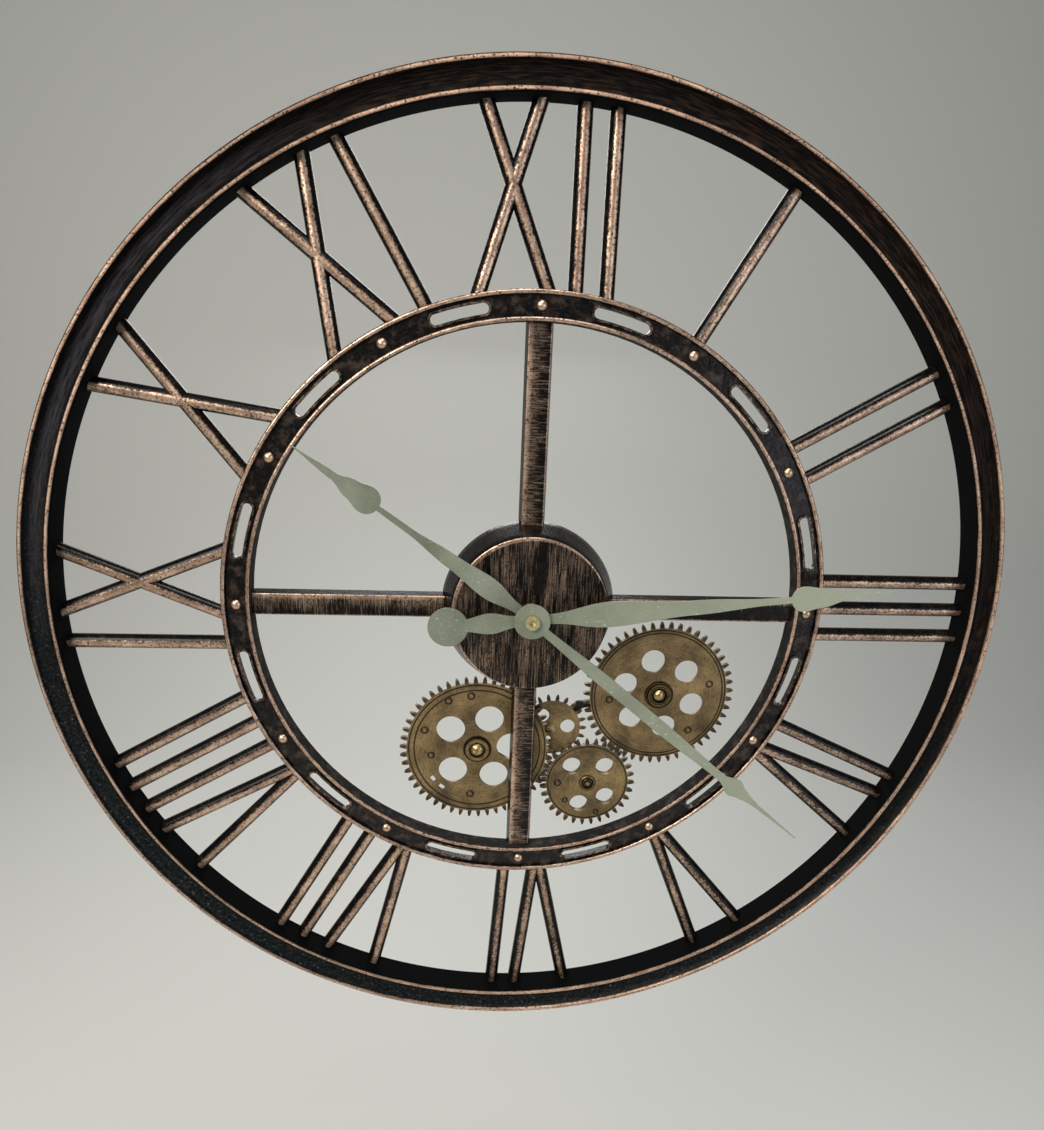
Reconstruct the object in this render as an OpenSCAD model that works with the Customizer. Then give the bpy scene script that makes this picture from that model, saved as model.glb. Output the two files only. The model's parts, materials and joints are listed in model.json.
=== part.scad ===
// Skeleton wall clock, 600 mm across, with an open brass gear train
// X right, Z up, the dial faces -Y, and Y = 0 is the wall.
// The origin is the round entry of the keyhole that the clock hangs by.
// Inside the modules the dial lies flat: x right, y up, and z counts from the wall.

/* [Rim] */
// Outer radius of the rim
rim_r = 301.5; // [280:0.5:330]
// Width of the rim from its outer skirt to its inner wall
rim_w = 18; // [14:0.5:24]
// Height of the rim's beads over the wall
rim_h = 31.5; // [29:0.5:36]
// Distance of the rim's inner wall from the wall behind it
rim_lip_h = 13; // [11:0.5:13]
// Sheet thickness of the rim
rim_t = 1.8; // [1.4:0.1:2.4]
// Radius of the rim's two beads
rim_bead = 1.7; // [1.2:0.1:2.2]
// How deep the rim's cove sinks between the beads
rim_cove = 3; // [1.5:0.25:4]

/* [Inner ring] */
// Radius of the middle of the inner ring
ring_r = 180.4; // [160:0.2:200]
// Width of the inner ring
ring_w = 17.6; // [15:0.2:20]
// Height of the ring's beads over the wall
ring_h = 22.5; // [21.5:0.5:24]
// Height of the back of the ring and of the spokes
frame_back_h = 10.5; // [10.5:0.25:12]
// Sheet thickness of the ring
ring_t = 1.6; // [1.2:0.1:2]
// Radius of the ring's two beads
ring_bead = 1.4; // [1:0.1:1.8]
// How deep the ring's web lies under the beads
ring_web_drop = 2.5; // [2:0.25:3.5]
// Length of a slot in the ring
slot_l = 34; // [20:1:44]
// Width of a slot in the ring
slot_w = 6; // [4:0.25:7]
// Width of the raised lip round a slot
slot_lip = 1.3; // [0.8:0.1:1.6]
// Radius of a ring rivet's head
rivet_r = 3.4; // [2.4:0.1:4.4]
// Height of a ring rivet's head
rivet_h = 2.2; // [1.4:0.1:3]

/* [Numerals] */
// Diameter of a numeral rod
rod_d = 8.8; // [6:0.2:9.4]
// Height of the rods' crest over the wall
rod_crest_h = 22; // [22:0.25:23]
// Distance between two upright strokes
stroke_gap = 18; // [16:0.5:20]
// How far each end of a cross stroke stands from its middle
cross_half = 19; // [14:0.5:21]
// How far the strokes of a V spread to each side
vee_spread = 15.5; // [12:0.5:17]
// Half the distance between the feet of a V
vee_foot = 2.5; // [1:0.25:4]

/* [Spokes and hub] */
// Width of a spoke's front face
spoke_w = 13.5; // [10:0.5:18]
// How much wider a spoke is at its back
spoke_draft = 3; // [0:0.5:5]
// Height of a spoke's front face over the wall
spoke_h = 17.5; // [15:0.5:19]
// Radius of the hub's front edge
hub_front_r = 48.7; // [47:0.1:50]
// Radius of the hub's back edge
hub_back_r = 55.4; // [54:0.1:56]
// Height of the hub's front face over the wall
hub_h = 32; // [32:0.25:33]
// Distance of the hub's back edge from the wall
hub_back_h = 10; // [9.5:0.25:10.5]
// Sheet thickness of the hub
hub_t = 1.6; // [1.2:0.1:2]
// Width of the hub's back flange
hub_flange = 8; // [5:0.5:10]

/* [Hands] */
// Thickness of a hand
hand_t = 1; // [0.6:0.1:1.4]
// Length of the hour hand
hour_l = 171.6; // [150:0.1:190]
// Length of the minute hand
minute_l = 225; // [200:1:250]
// Length of the second hand
second_l = 236.6; // [210:0.1:260]
// Where the hour hand points, clockwise from twelve
hour_deg = 305.6; // [0:0.1:360]
// Where the minute hand points, clockwise from twelve
minute_deg = 84.4; // [0:0.1:360]
// Where the second hand points, clockwise from twelve
second_deg = 129.2; // [0:0.1:360]
// Height of the hour hand over the wall
hour_h = 39.5; // [39:0.1:40]
// Step from one hand up to the next
hand_step = 2.9; // [2.4:0.1:3.2]
// Radius of the hub discs of the hour and minute hands
hand_disc_r = 9; // [6:0.5:10]
// Radius of the second hand's hub disc
cap_disc_r = 11; // [8:0.5:13]
// Radius of the minute hand's counterweight
weight_r = 12.2; // [9:0.1:14]

/* [Gear train] */
// How many modules of the brass gears make the inner ring's inner radius
gear_modules = 85.8; // [85:0.1:87]
// Teeth of the left gear
left_teeth = 50; // [48:1:50]
// Teeth of the right gear
right_teeth = 49; // [46:1:50]
// Teeth of the small gear
small_teeth = 31; // [30:1:31]
// Teeth of the rear gear
rear_teeth = 22; // [20:1:23]
// Teeth of the pinion behind the small gear
pinion_teeth = 26; // [25:1:27]
// Share of the pitch that a tooth fills
tooth_share = 0.36; // [0.32:0.01:0.42]
// Gap between the small gear's teeth and the inner ring
small_gap = 2.07; // [1.8:0.01:3]
// Thickness of the front gears
gear_t = 2.5; // [2:0.1:2.6]
// Thickness of the rear gear and the pinion
rear_t = 1.6; // [1.2:0.1:1.7]
// Gap between layers of the gear train
layer_gap = 0.5; // [0.4:0.05:0.6]
// Radius of the gear posts
post_r = 2.5; // [2:0.1:3]
// Thickness of the straps that carry the posts
strap_t = 2; // [1.6:0.1:2.2]
// Width of those straps
strap_w = 5.25; // [4.5:0.25:8]
// How far the round eye at a strap's end stands out past its sides
strap_eye = 0.5; // [0.3:0.1:1]

/* [Movement] */
// Side of the square movement case
case_w = 56; // [56:0.5:58]
// Depth of the movement case
case_d = 16; // [16:0.25:16.5]
// Wall thickness of the movement case
case_t = 1.2; // [1:0.1:1.3]
// Diameter of the battery
cell_d = 14.2; // [13.8:0.1:14.4]
// Length of the battery with its nub
cell_l = 50; // [49.5:0.1:50.4]
// Outer radius of the threaded bush
bush_r = 4; // [3.9:0.05:5]
// Height of the front end of the bush over the wall
bush_h = 38; // [37:0.25:38.5]
// Radial play of every turning fit
play = 0.05; // [0.03:0.01:0.08]

/* [Hanger] */
// Height of the keyhole's entry over the dial's centre
hang_drop = 38; // [37:0.25:38.5]
// Radius of the keyhole's round entry
key_r = 5; // [4:0.1:5.5]
// Width of the keyhole's slot
key_slot = 5; // [4:0.1:5]
// Length of the keyhole's slot over the entry's centre
key_l = 8; // [7:0.25:8.5]
// Thickness of the hanger's sheet
hang_t = 1.5; // [1.2:0.1:2]

/* [Hidden] */
$fn = 96;
over = 20;

// Colours
c_iron = [0.17, 0.13, 0.11];
c_copper = [0.72, 0.50, 0.38];
c_brass = [0.48, 0.38, 0.22];
c_bright = [0.78, 0.64, 0.36];
c_sage = [0.53, 0.60, 0.51];
c_black = [0.10, 0.10, 0.11];
c_steel = [0.62, 0.62, 0.62];

// Inner ring
ring_web_h = ring_h - ring_web_drop;
ring_out_r = ring_r + ring_w / 2;
ring_in_r = ring_r - ring_w / 2;
rim_in_r = rim_r - rim_w;
slot_half = (slot_l - slot_w) / 2 / ring_r * 180 / PI;

// Numerals: a stroke is [offset at the ring, offset at the rim], clockwise from the hour line.
// Places, leans and skews count in stroke gaps.
rod_h = rod_crest_h - rod_d / 2;
function upright(x, lean = 0) = stroke_gap * [[x, x + lean]];
function cross(x, skew = 0) = let (c = x * stroke_gap) [
    [c - cross_half, c + cross_half - skew * stroke_gap],
    [c + cross_half, c - cross_half]
];
function vee(x, lean) = let (foot = x * stroke_gap, top = (x + lean) * stroke_gap) [
    [foot - vee_foot, top - vee_foot - vee_spread],
    [foot + vee_foot, top + vee_foot + vee_spread]
];
numerals = [
    upright(-0.11),
    [for (i = [-0.7, 0.5]) each upright(i)],
    [for (i = [-1.2, -0.2, 0.8]) each upright(i)],
    concat(upright(-1, -0.52), vee(0.22, 0.11)),
    vee(-0.14, -0.14),
    concat(vee(-0.72, -0.305), upright(0.555, 0.333)),
    concat(vee(-0.97, -0.61), [for (i = [0.4, 1.4]) each upright(i, 0.083)]),
    concat(vee(-1.33, -0.61), [for (i = [0, 1, 2]) each upright(i, 0.055)]),
    concat(upright(-1.4), cross(0.75)),
    cross(0.195),
    concat(cross(-0.415), upright(1.75)),
    concat(cross(-0.89, 0.445), [for (i = [1.05, 2.05]) each upright(i)])
];

// Hub and movement, all counted from the wall
hub_depth = hub_h - hub_back_h;
hub_in_h = hub_h - hub_t;
pad_t = 0.8;
case_front_h = hub_in_h - pad_t;
case_back_h = case_front_h - case_d;
case_in = case_w / 2 - case_t;
case_round = 4;
bay_wall = 0.7;
cell_gap = 0.3;
bay_y = -case_in + cell_d + 2 * cell_gap;
cover_t = 1.2;
cell_y = -case_in + cell_d / 2 + cell_gap;
cell_h = case_back_h + cell_d / 2 + cell_gap;
nub_l = 1.2;
nub_r = 2.7;
contact_t = 0.5;
contact_w = 10;
contact_bump_r = 3;
pad_r = 11;
washer_r = 7.5;
washer_t = 0.6;
nut_r = 6.6;
nut_t = 2.6;

// Hanger: a hat-shaped strap from one side of the hub's flange to the other
hang_half = 30;
hang_foot = 6;
hang_low = 7;
hang_tall = 17;
hang_leg = 11;
hang_inset = 4.4;

// Arbors and pipes on the dial's axis
second_arbor_r = 0.6;
pipe_t = 1.1;
minute_bore = second_arbor_r + play;
minute_pipe_r = minute_bore + pipe_t;
hour_bore = minute_pipe_r + play;
hour_pipe_r = hour_bore + 0.65;
bush_bore = hour_pipe_r + play;
pivot_r = 0.5;
pivot_bore = pivot_r + play;
knob_arbor_r = 1;

// Hands
minute_h = hour_h + hand_step;
second_h = minute_h + hand_step;
collet_r = 4.3;
collet_hole_r = 2.1;
collet_rise = 3;
hour_bulb_r = 8.3;
hour_bulb_at = 0.703 * hour_l;
minute_bulb_r = 8;
minute_bulb_at = 0.747 * minute_l;
weight_at = 50.8;
hour_leaf = [
    [0, 3], [10, 3], [0.192 * hour_l, 6.6], [0.35 * hour_l, 4.4],
    [0.536 * hour_l, 1.9], [hour_bulb_at, 1.6]
];
hour_tip = [
    [hour_bulb_at, hour_bulb_r], [0.767 * hour_l, 5.8],
    [0.831 * hour_l, 2.4], [hour_l, 0.3]
];
minute_leaf = [
    [0, 3], [10, 3], [0.209 * minute_l, 8], [0.444 * minute_l, 4.6],
    [0.667 * minute_l, 2.1], [minute_bulb_at, 1.8]
];
minute_tip = [
    [minute_bulb_at, minute_bulb_r], [0.8 * minute_l, 6.2],
    [0.871 * minute_l, 2.6], [minute_l, 0.3]
];
weight_leaf = [[0, 3], [10, 3.6], [25, 6.5], [weight_at - 8, 3.6]];
second_leaf = [
    [0, 2.6], [10, 2.6], [0.254 * second_l, 4.1], [0.465 * second_l, 4.1], [0.697 * second_l, 2.7],
    [0.748 * second_l, 6.4], [0.775 * second_l, 4], [0.808 * second_l, 2.2],
    [0.845 * second_l, 1.2], [second_l, 0.4]
];
leaf_step = 3;

// Small wheels of the movement: stub involute teeth on a steep pressure angle
fine_angle = 25;
fine_add = 0.7;
fine_ded = 1.2;
fine_share = 0.44;
wheel_t = 0.8;
leaf_t = 1.4;
second_pinion = 8;
third_teeth = 60;
third_pinion = 8;
centre_teeth = 64;
cannon_teeth = 12;
motion_teeth = 36;
motion_pinion = 10;
hour_teeth = 40;
second_teeth = 40;
step_pinion = 8;
step_teeth = 48;
rotor_teeth = 8;
knob_teeth = 10;
third_m = 0.32;
centre_m = third_m * (second_pinion + third_teeth) / (third_pinion + centre_teeth);
motion_m = 0.45;
hour_m = motion_m * (cannon_teeth + motion_teeth) / (motion_pinion + hour_teeth);
second_m = 0.36;
step_m = 0.3;
function reach(m, a, b) = m * (a + b) / 2;
function polar(r, a) = [r * cos(a), r * sin(a)];
third_dir = 90;
motion_dir = 180;
step_dir = 20;
rotor_dir = -15;
knob_dir = 120;
third_at = polar(reach(third_m, second_pinion, third_teeth), third_dir);
motion_at = polar(reach(motion_m, cannon_teeth, motion_teeth), motion_dir);
step_at = polar(reach(second_m, second_teeth, step_pinion), step_dir);
rotor_at = step_at + polar(reach(step_m, step_teeth, rotor_teeth), rotor_dir);
knob_at = motion_at + polar(reach(motion_m, motion_teeth, knob_teeth), knob_dir);

// Layers of the movement, counted from the front wall of its case
front_in_h = case_front_h - case_t;
hour_wheel_h = front_in_h - 1.4;
motion_wheel_h = hour_wheel_h - 1.9;
centre_wheel_h = motion_wheel_h - 2.2;
mid_gap = 0.2;
mid_t = 0.7;
mid_edge = 2.6;
mid_h = centre_wheel_h - leaf_t / 2 - mid_gap - mid_t;
third_wheel_h = mid_h - mid_gap - leaf_t / 2;
second_wheel_h = third_wheel_h - 2;
step_wheel_h = second_wheel_h - 1.8;
arbor_back_h = case_back_h + 0.2;
arbor_front_h = case_front_h - 0.2;
mid_pivot = 0.1;

// Coil, stator and board
coil_r = 3.2;
coil_x = case_in - coil_r - 0.6;
coil_l = 29;
coil_y = 7;
core_r = 1.2;
core_play = 0.05;
coil_gap = 0.3;
core_h = second_wheel_h + 1.1;
magnet_r = 2.2;
magnet_gap = 0.4;
stator_t = 0.8;
stator_x = rotor_at.x - magnet_r - 1.4;
board_w = 6.4;
board_l = 32;
board_y = 8;
board_h = case_back_h + cover_t + 1.6;
board_t = 1;

// Gear train, counted from the wall
under_gap = 0.7;
gear_front_h = min(hub_back_h, frame_back_h) - under_gap;
gear_back_h = gear_front_h - gear_t;
rear_front_h = gear_back_h - 2 * layer_gap;
rear_back_h = rear_front_h - rear_t;
strap_front_h = rear_back_h - 2 * layer_gap;
strap_back_h = strap_front_h - strap_t;
post_bore = post_r + play;
gear_add = 1;
gear_ded = 1.25;
gear_angle = 15;
gear_flank_steps = 3;
groove_w = 0.9;
groove_d = 0.35;
gear_rivet_h = 0.6;
right_dir = 56.2;
left_dir = 161.4;
rear_dir = 123.5;
gear_m = ring_in_r / gear_modules;
small_dir = -70;
small_at = polar(ring_in_r - small_gap - gear_m * (small_teeth / 2 + gear_add), small_dir);
right_at = small_at + polar(reach(gear_m, small_teeth, right_teeth), right_dir);
left_at = small_at + polar(reach(gear_m, small_teeth, left_teeth), left_dir);
rear_at = small_at + polar(reach(gear_m, pinion_teeth, rear_teeth), rear_dir);
// The tooth phase that puts gear b in mesh with gear a, which lies at angle dir before it
function mesh(za, pa, zb, dir) = dir + 180 + (180 - za * (pa - dir)) / zb;
small_phase = 0;
right_phase = mesh(small_teeth, small_phase, right_teeth, right_dir);
left_phase = mesh(small_teeth, small_phase, left_teeth, left_dir);
pinion_phase = 0;
rear_phase = mesh(pinion_teeth, pinion_phase, rear_teeth, rear_dir);
small_holes = [132, 47, -39, -107];
right_holes = [for (i = [0:5]) 43 + 60 * i];
left_holes = [70, 142, 225, 301, 364];
left_slots = [218, 231];
rear_holes = [5, 128, 245];
bridge_foot = ring_in_r - 8;
bridge_foot_l = 8;
bridge_head_l = 4;
bridge_knee_dir = 40;
left_arm_slope = 0.64;
small_hole_at = 8.5 * gear_m;
small_hole_r = 3.2 * gear_m;
right_hole_at = 12.1 * gear_m;
right_hole_r = 4 * gear_m;
left_hole_at = 11.4 * gear_m;
left_hole_r = 4.8 * gear_m;
left_slot_at = 18.75 * gear_m;
left_slot = [3.4, 4.6];
rear_hole_at = 5.5 * gear_m;
rear_hole_r = 2.45 * gear_m;
small_grooves = [13.7];
right_grooves = [21.75, 22.7];
left_grooves = [21.2, 23];
// Rivet heads on the gears: [distance in modules, angle, radius]
small_rivets = [[10.35, 180, 1.9], [10, 222, 1.4], [12, -72, 1.4]];
right_rivets = [[16.8, 187, 1.9], [17.45, 13, 1.9], [17.35, -49, 1.9]];
left_rivets = [[19.35, 97, 2], [20, 119.5, 2], [18.95, 159, 2], [15.7, 189, 1.8], [17.2, 263, 2]];
// Turned hubs of the gears, radii and heights over the plate:
// [sleeve radius, flange radius, flange height, crest radius, crest height, cup radius, cup floor]
right_boss = [5.6, 9.6, 0.9, 7.6, 2.6, 5.2, 1.4];
small_boss = [4.2, 5.8, 0.4, 4.9, 1, 4.1, 0.5];
left_boss = [5.2, 9.4, 1, 7.8, 2.8, 5.5, 1.6];
boss_slope = 0.8;
function cup_floor(b) = gear_front_h + b[6];
right_post_h = cup_floor(right_boss) + layer_gap;
small_post_h = cup_floor(small_boss) + layer_gap;
left_post_h = cup_floor(left_boss) + layer_gap;
rear_post_h = rear_front_h + 0.3 * layer_gap;
// Screws on the posts: [radius, height, angle of the slot]
right_screw = [3.9, 2.2, 30];
small_screw = [3.2, 1, 60];
left_screw = [4.4, 2.4, 50];
rear_cap_r = 3.2;
rear_cap_t = 0.7 * layer_gap;
screw_slot = 0.8;

// Stands the flat dial up on the wall, with the keyhole's entry at the origin
module on_wall() {
    translate([0, 0, -hang_drop]) rotate([90, 0, 0]) children();
}

module tube(r, bore, h) {
    difference() {
        cylinder(r = r, h = h);
        translate([0, 0, -1]) cylinder(r = bore, h = h + 2);
    }
}

// A plate with round corners, standing on z = 0
module plate(w, l, r, h) {
    translate([-w / 2 + r, -l / 2, 0]) cube([w - 2 * r, l, h]);
    translate([-w / 2, -l / 2 + r, 0]) cube([w, l - 2 * r, h]);
    for (x = [-1, 1], y = [-1, 1])
        translate([x * (w / 2 - r), y * (l / 2 - r), 0]) cylinder(r = r, h = h);
}

// Rim: a deep outer skirt, a shallow inner wall and a cove between two beads
module outer_rim() {
    web_h = rim_h - rim_bead;
    mid = (rim_r + rim_in_r) / 2;
    half = (rim_r - rim_in_r) / 2 - rim_bead;
    cove_r = (half * half + rim_cove * rim_cove) / (2 * rim_cove);
    color(c_iron) on_wall() rotate_extrude($fn = 180) {
        difference() {
            union() {
                translate([rim_r - rim_t, 0]) square([rim_t, web_h]);
                translate([rim_in_r, rim_lip_h]) square([rim_t, web_h - rim_lip_h]);
                translate([rim_in_r, web_h - rim_cove - rim_t])
                    square([rim_r - rim_in_r, rim_cove + rim_t]);
            }
            translate([mid, web_h - rim_cove + cove_r]) circle(cove_r);
        }
        translate([rim_r - rim_bead, web_h]) circle(rim_bead, $fn = 24);
        translate([rim_in_r + rim_bead, web_h]) circle(rim_bead, $fn = 24);
    }
}

// A slot that follows the ring, grown by extra on all sides
module ring_slot(extra, h) {
    w = slot_w + 2 * extra;
    rotate([0, 0, -slot_half]) rotate_extrude(angle = 2 * slot_half, $fn = 180)
        translate([ring_r - w / 2, 0]) square([w, h]);
    for (a = [-slot_half, slot_half])
        rotate([0, 0, a]) translate([ring_r, 0, 0]) cylinder(r = w / 2, h = h, $fn = 32);
}

module inner_ring() {
    wall_h = ring_h - ring_bead;
    color(c_iron) on_wall() difference() {
        union() {
            rotate_extrude($fn = 180) {
                translate([ring_in_r, frame_back_h]) square([ring_t, wall_h - frame_back_h]);
                translate([ring_out_r - ring_t, frame_back_h])
                    square([ring_t, wall_h - frame_back_h]);
                translate([ring_in_r, ring_web_h - ring_t])
                    square([ring_out_r - ring_in_r, ring_t]);
                translate([ring_in_r + ring_bead, wall_h]) circle(ring_bead, $fn = 24);
                translate([ring_out_r - ring_bead, wall_h]) circle(ring_bead, $fn = 24);
            }
            for (i = [0:11]) rotate([0, 0, 30 * i + 15])
                translate([0, 0, ring_web_h - ring_t])
                    ring_slot(slot_lip, ring_t + ring_web_drop - 1);
        }
        for (i = [0:11]) rotate([0, 0, 30 * i + 15])
            translate([0, 0, frame_back_h]) ring_slot(0, over);
    }
}

// Cap of a ball, r wide at its foot and h high
module dome(r, h) {
    ball_r = (r * r + h * h) / (2 * h);
    intersection() {
        translate([0, 0, h - ball_r]) sphere(ball_r, $fn = 48);
        cylinder(r = r + 1, h = h + 1);
    }
}

// Domed heads, one at each hour
module ring_rivets() {
    color(c_copper) on_wall() for (i = [0:11]) rotate([0, 0, 30 * i])
        translate([0, ring_r, ring_web_h]) dome(rivet_r, rivet_h);
}

// One rod of a numeral, from its offset at the ring to its offset at the rim
module stroke(ends) {
    foot = [ends[0], ring_out_r];
    run = [ends[1], rim_in_r] - foot;
    translate([foot.x, foot.y, rod_h]) rotate([0, 0, -atan2(run.x, run.y)])
        rotate([-90, 0, 0]) translate([0, 0, -over])
            cylinder(r = rod_d / 2, h = norm(run) + 2 * over, $fn = 48);
}

// A Roman numeral of rods, trimmed to the ring's and the rim's walls
module numeral(hour) {
    color(c_copper) on_wall() rotate([0, 0, -30 * hour]) difference() {
        intersection() {
            union() {
                for (ends = numerals[hour - 1]) stroke(ends);
            }
            cylinder(r = rim_in_r, h = rim_h, $fn = 180);
        }
        cylinder(r = ring_out_r, h = rim_h, $fn = 180);
    }
}

module numeral_1() { numeral(1); }
module numeral_2() { numeral(2); }
module numeral_3() { numeral(3); }
module numeral_4() { numeral(4); }
module numeral_5() { numeral(5); }
module numeral_6() { numeral(6); }
module numeral_7() { numeral(7); }
module numeral_8() { numeral(8); }
module numeral_9() { numeral(9); }
module numeral_10() { numeral(10); }
module numeral_11() { numeral(11); }
module numeral_12() { numeral(12); }

module hub_solid() {
    translate([0, 0, hub_back_h]) cylinder(r1 = hub_back_r, r2 = hub_front_r, h = hub_depth);
}

// A drafted bar from the hub's cone to the ring's inner wall
module spoke(quarter) {
    base = spoke_w / 2 + spoke_draft / 2;
    edge = spoke_w / 2;
    color(c_iron) on_wall() rotate([0, 0, -90 * quarter]) difference() {
        intersection() {
            rotate([-90, 0, 0]) linear_extrude(ring_in_r + over) polygon([
                [-base, -frame_back_h], [base, -frame_back_h],
                [edge, -spoke_h], [-edge, -spoke_h]
            ]);
            cylinder(r = ring_in_r, h = rim_h, $fn = 180);
        }
        hub_solid();
    }
}

module spoke_12() { spoke(0); }
module spoke_3() { spoke(1); }
module spoke_6() { spoke(2); }
module spoke_9() { spoke(3); }

// Drafted cup, open at the back, with a flange turned in
module hub_drum() {
    color(c_iron) on_wall() difference() {
        hub_solid();
        translate([0, 0, hub_back_h + hub_t])
            cylinder(r1 = hub_back_r - hub_t, r2 = hub_front_r - hub_t, h = hub_depth - 2 * hub_t);
        cylinder(r = hub_back_r - hub_flange, h = hub_back_h + 2 * hub_t);
        cylinder(r = bush_r, h = hub_h + 1);
    }
}

// Hat-shaped strap on the hub's flange, with the keyhole at the wall
module hanger() {
    low = hang_drop - hang_low;
    color(c_steel) on_wall() difference() {
        intersection() {
            union() {
                translate([-hang_half, low, 0]) cube([2 * hang_half, hang_tall, hang_t]);
                for (x = [-hang_half, hang_half - hang_t])
                    translate([x, low, 0]) cube([hang_t, hang_leg, hub_back_h]);
                for (x = [-hang_half - hang_foot, hang_half - hang_t])
                    translate([x, low, hub_back_h - hang_t]) cube([hang_foot + hang_t, hang_leg, hang_t]);
            }
            translate([0, 0, -1]) cylinder(r = hub_back_r - hang_inset, h = hub_back_h + 2);
        }
        translate([0, hang_drop, -1]) cylinder(r = key_r, h = hang_t + 2);
        translate([-key_slot / 2, hang_drop, -1])
            cube([key_slot, key_l - key_slot / 2, hang_t + 2]);
        translate([0, hang_drop + key_l - key_slot / 2, -1])
            cylinder(r = key_slot / 2, h = hang_t + 2);
    }
}

// Square shell, open at the back, with a wall that parts the battery's bay off
module movement_case() {
    color(c_black) on_wall() difference() {
        union() {
            difference() {
                translate([0, 0, case_back_h]) plate(case_w, case_w, case_round, case_d);
                translate([0, 0, case_back_h - 1])
                    plate(2 * case_in, 2 * case_in, case_round - case_t, case_d - case_t + 1);
            }
            translate([-case_in, bay_y, case_back_h])
                cube([2 * case_in, bay_wall, case_d - case_t / 2]);
        }
        translate([0, 0, case_back_h]) cylinder(r = bush_r, h = case_d + 1);
        for (p = [third_at, motion_at])
            translate([p.x, p.y, case_back_h]) cylinder(r = pivot_bore, h = case_d + 1, $fn = 32);
    }
}

// Flat lid over the wheels, with the back pivots' holes
module movement_cover() {
    low = bay_y + bay_wall;
    inset = 0.1;
    l = case_in - low - 2 * inset;
    color(c_black) on_wall() difference() {
        translate([0, low + inset + l / 2, case_back_h])
            plate(2 * case_in - 2 * inset, l, case_round - case_t, cover_t);
        translate([0, 0, case_back_h - 1])
            cylinder(r = second_arbor_r + play, h = cover_t + 2, $fn = 32);
        for (p = [third_at, step_at, rotor_at])
            translate([p.x, p.y, case_back_h - 1])
                cylinder(r = pivot_bore, h = cover_t + 2, $fn = 32);
        translate([knob_at.x, knob_at.y, case_back_h - 1])
            cylinder(r = knob_arbor_r + play, h = cover_t + 2, $fn = 32);
    }
}

// Mid plate between the motor's wheels and the wheels of the hands
module train_plate() {
    low = bay_y + bay_wall;
    left = knob_at.x - mid_edge;
    right = rotor_at.x + mid_edge;
    color(c_black) on_wall() difference() {
        translate([left, low, mid_h]) cube([right - left, case_in - low, mid_t]);
        translate([0, 0, mid_h - 1])
            cylinder(r = second_arbor_r + play, h = mid_t + 2, $fn = 32);
        for (p = [third_at, motion_at, step_at, rotor_at])
            translate([p.x, p.y, mid_h - 1]) cylinder(r = pivot_bore, h = mid_t + 2, $fn = 32);
        translate([knob_at.x, knob_at.y, mid_h - 1])
            cylinder(r = knob_arbor_r + play, h = mid_t + 2, $fn = 32);
    }
}

// AA cell, lying along X with its nub to the right
module battery() {
    color([0.20, 0.30, 0.24]) on_wall() translate([-cell_l / 2, cell_y, cell_h]) rotate([0, 90, 0]) {
        cylinder(r = cell_d / 2, h = cell_l - nub_l);
        cylinder(r = nub_r, h = cell_l);
    }
}

// Plate on the case's wall with a pressed bump that meets the cell's end
module contact(x, bump_x) {
    color(c_steel) on_wall() {
        translate([x, cell_y - contact_w / 2, cell_h - contact_w / 2])
            cube([contact_t, contact_w, contact_w]);
        translate([bump_x, cell_y, cell_h]) rotate([0, 90, 0])
            cylinder(r = contact_bump_r, h = case_in - cell_l / 2);
    }
}

module contact_plus() { contact(case_in - contact_t, cell_l / 2); }
module contact_minus() { contact(-case_in, -case_in); }

module circuit_board() {
    color([0.16, 0.34, 0.22]) on_wall() {
        translate([-case_in + 0.3, board_y - board_l / 2, board_h]) cube([board_w, board_l, board_t]);
        translate([-case_in + 0.3 + board_w / 2, board_y + 6, board_h + board_t])
            cylinder(r = 2.4, h = 1);
    }
}

// Quartz resonator, soldered on the board
module quartz_can() {
    can_r = 1;
    color(c_steel) on_wall()
        translate([-case_in + 0.3 + board_w / 2, board_y - 12, board_h + board_t + can_r])
            rotate([-90, 0, 0]) cylinder(r = can_r, h = 8, $fn = 32);
}

module motor_coil() {
    color([0.60, 0.34, 0.18]) on_wall()
        translate([coil_x, coil_y - coil_l / 2, core_h]) rotate([-90, 0, 0])
            tube(coil_r, core_r + core_play, coil_l);
}

// Soft-iron yoke: a core through the coil and a limb round the rotor
module motor_stator() {
    limb = coil_x - coil_r - coil_gap - stator_x;
    end = 2.2;
    reach_y = coil_l / 2 + end;
    color(c_steel) on_wall() difference() {
        union() {
            translate([coil_x, coil_y - reach_y, core_h]) rotate([-90, 0, 0])
                cylinder(r = core_r, h = 2 * reach_y, $fn = 32);
            translate([stator_x, coil_y - reach_y, core_h - stator_t / 2])
                cube([limb, 2 * reach_y, stator_t]);
            for (y = [coil_y - reach_y, coil_y + reach_y - end])
                translate([stator_x, y, core_h - stator_t / 2])
                    cube([coil_x - stator_x, end, stator_t]);
        }
        translate([rotor_at.x, rotor_at.y, core_h - stator_t])
            cylinder(r = magnet_r + magnet_gap, h = 2 * stator_t);
    }
}

// Threaded neck that clamps the movement to the hub
module bush() {
    color(c_bright) on_wall() translate([0, 0, front_in_h])
        tube(bush_r, bush_bore, bush_h - front_in_h);
}

module case_pad() {
    color([0.08, 0.08, 0.08]) on_wall() translate([0, 0, case_front_h]) tube(pad_r, bush_r, pad_t);
}

module dial_washer() {
    color(c_bright) on_wall() translate([0, 0, hub_h]) tube(washer_r, bush_r, washer_t);
}

module dial_nut() {
    color(c_bright) on_wall() translate([0, 0, hub_h + washer_t]) difference() {
        cylinder(r = nut_r, h = nut_t, $fn = 6);
        translate([0, 0, -1]) cylinder(r = bush_r, h = nut_t + 2);
    }
}

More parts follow.
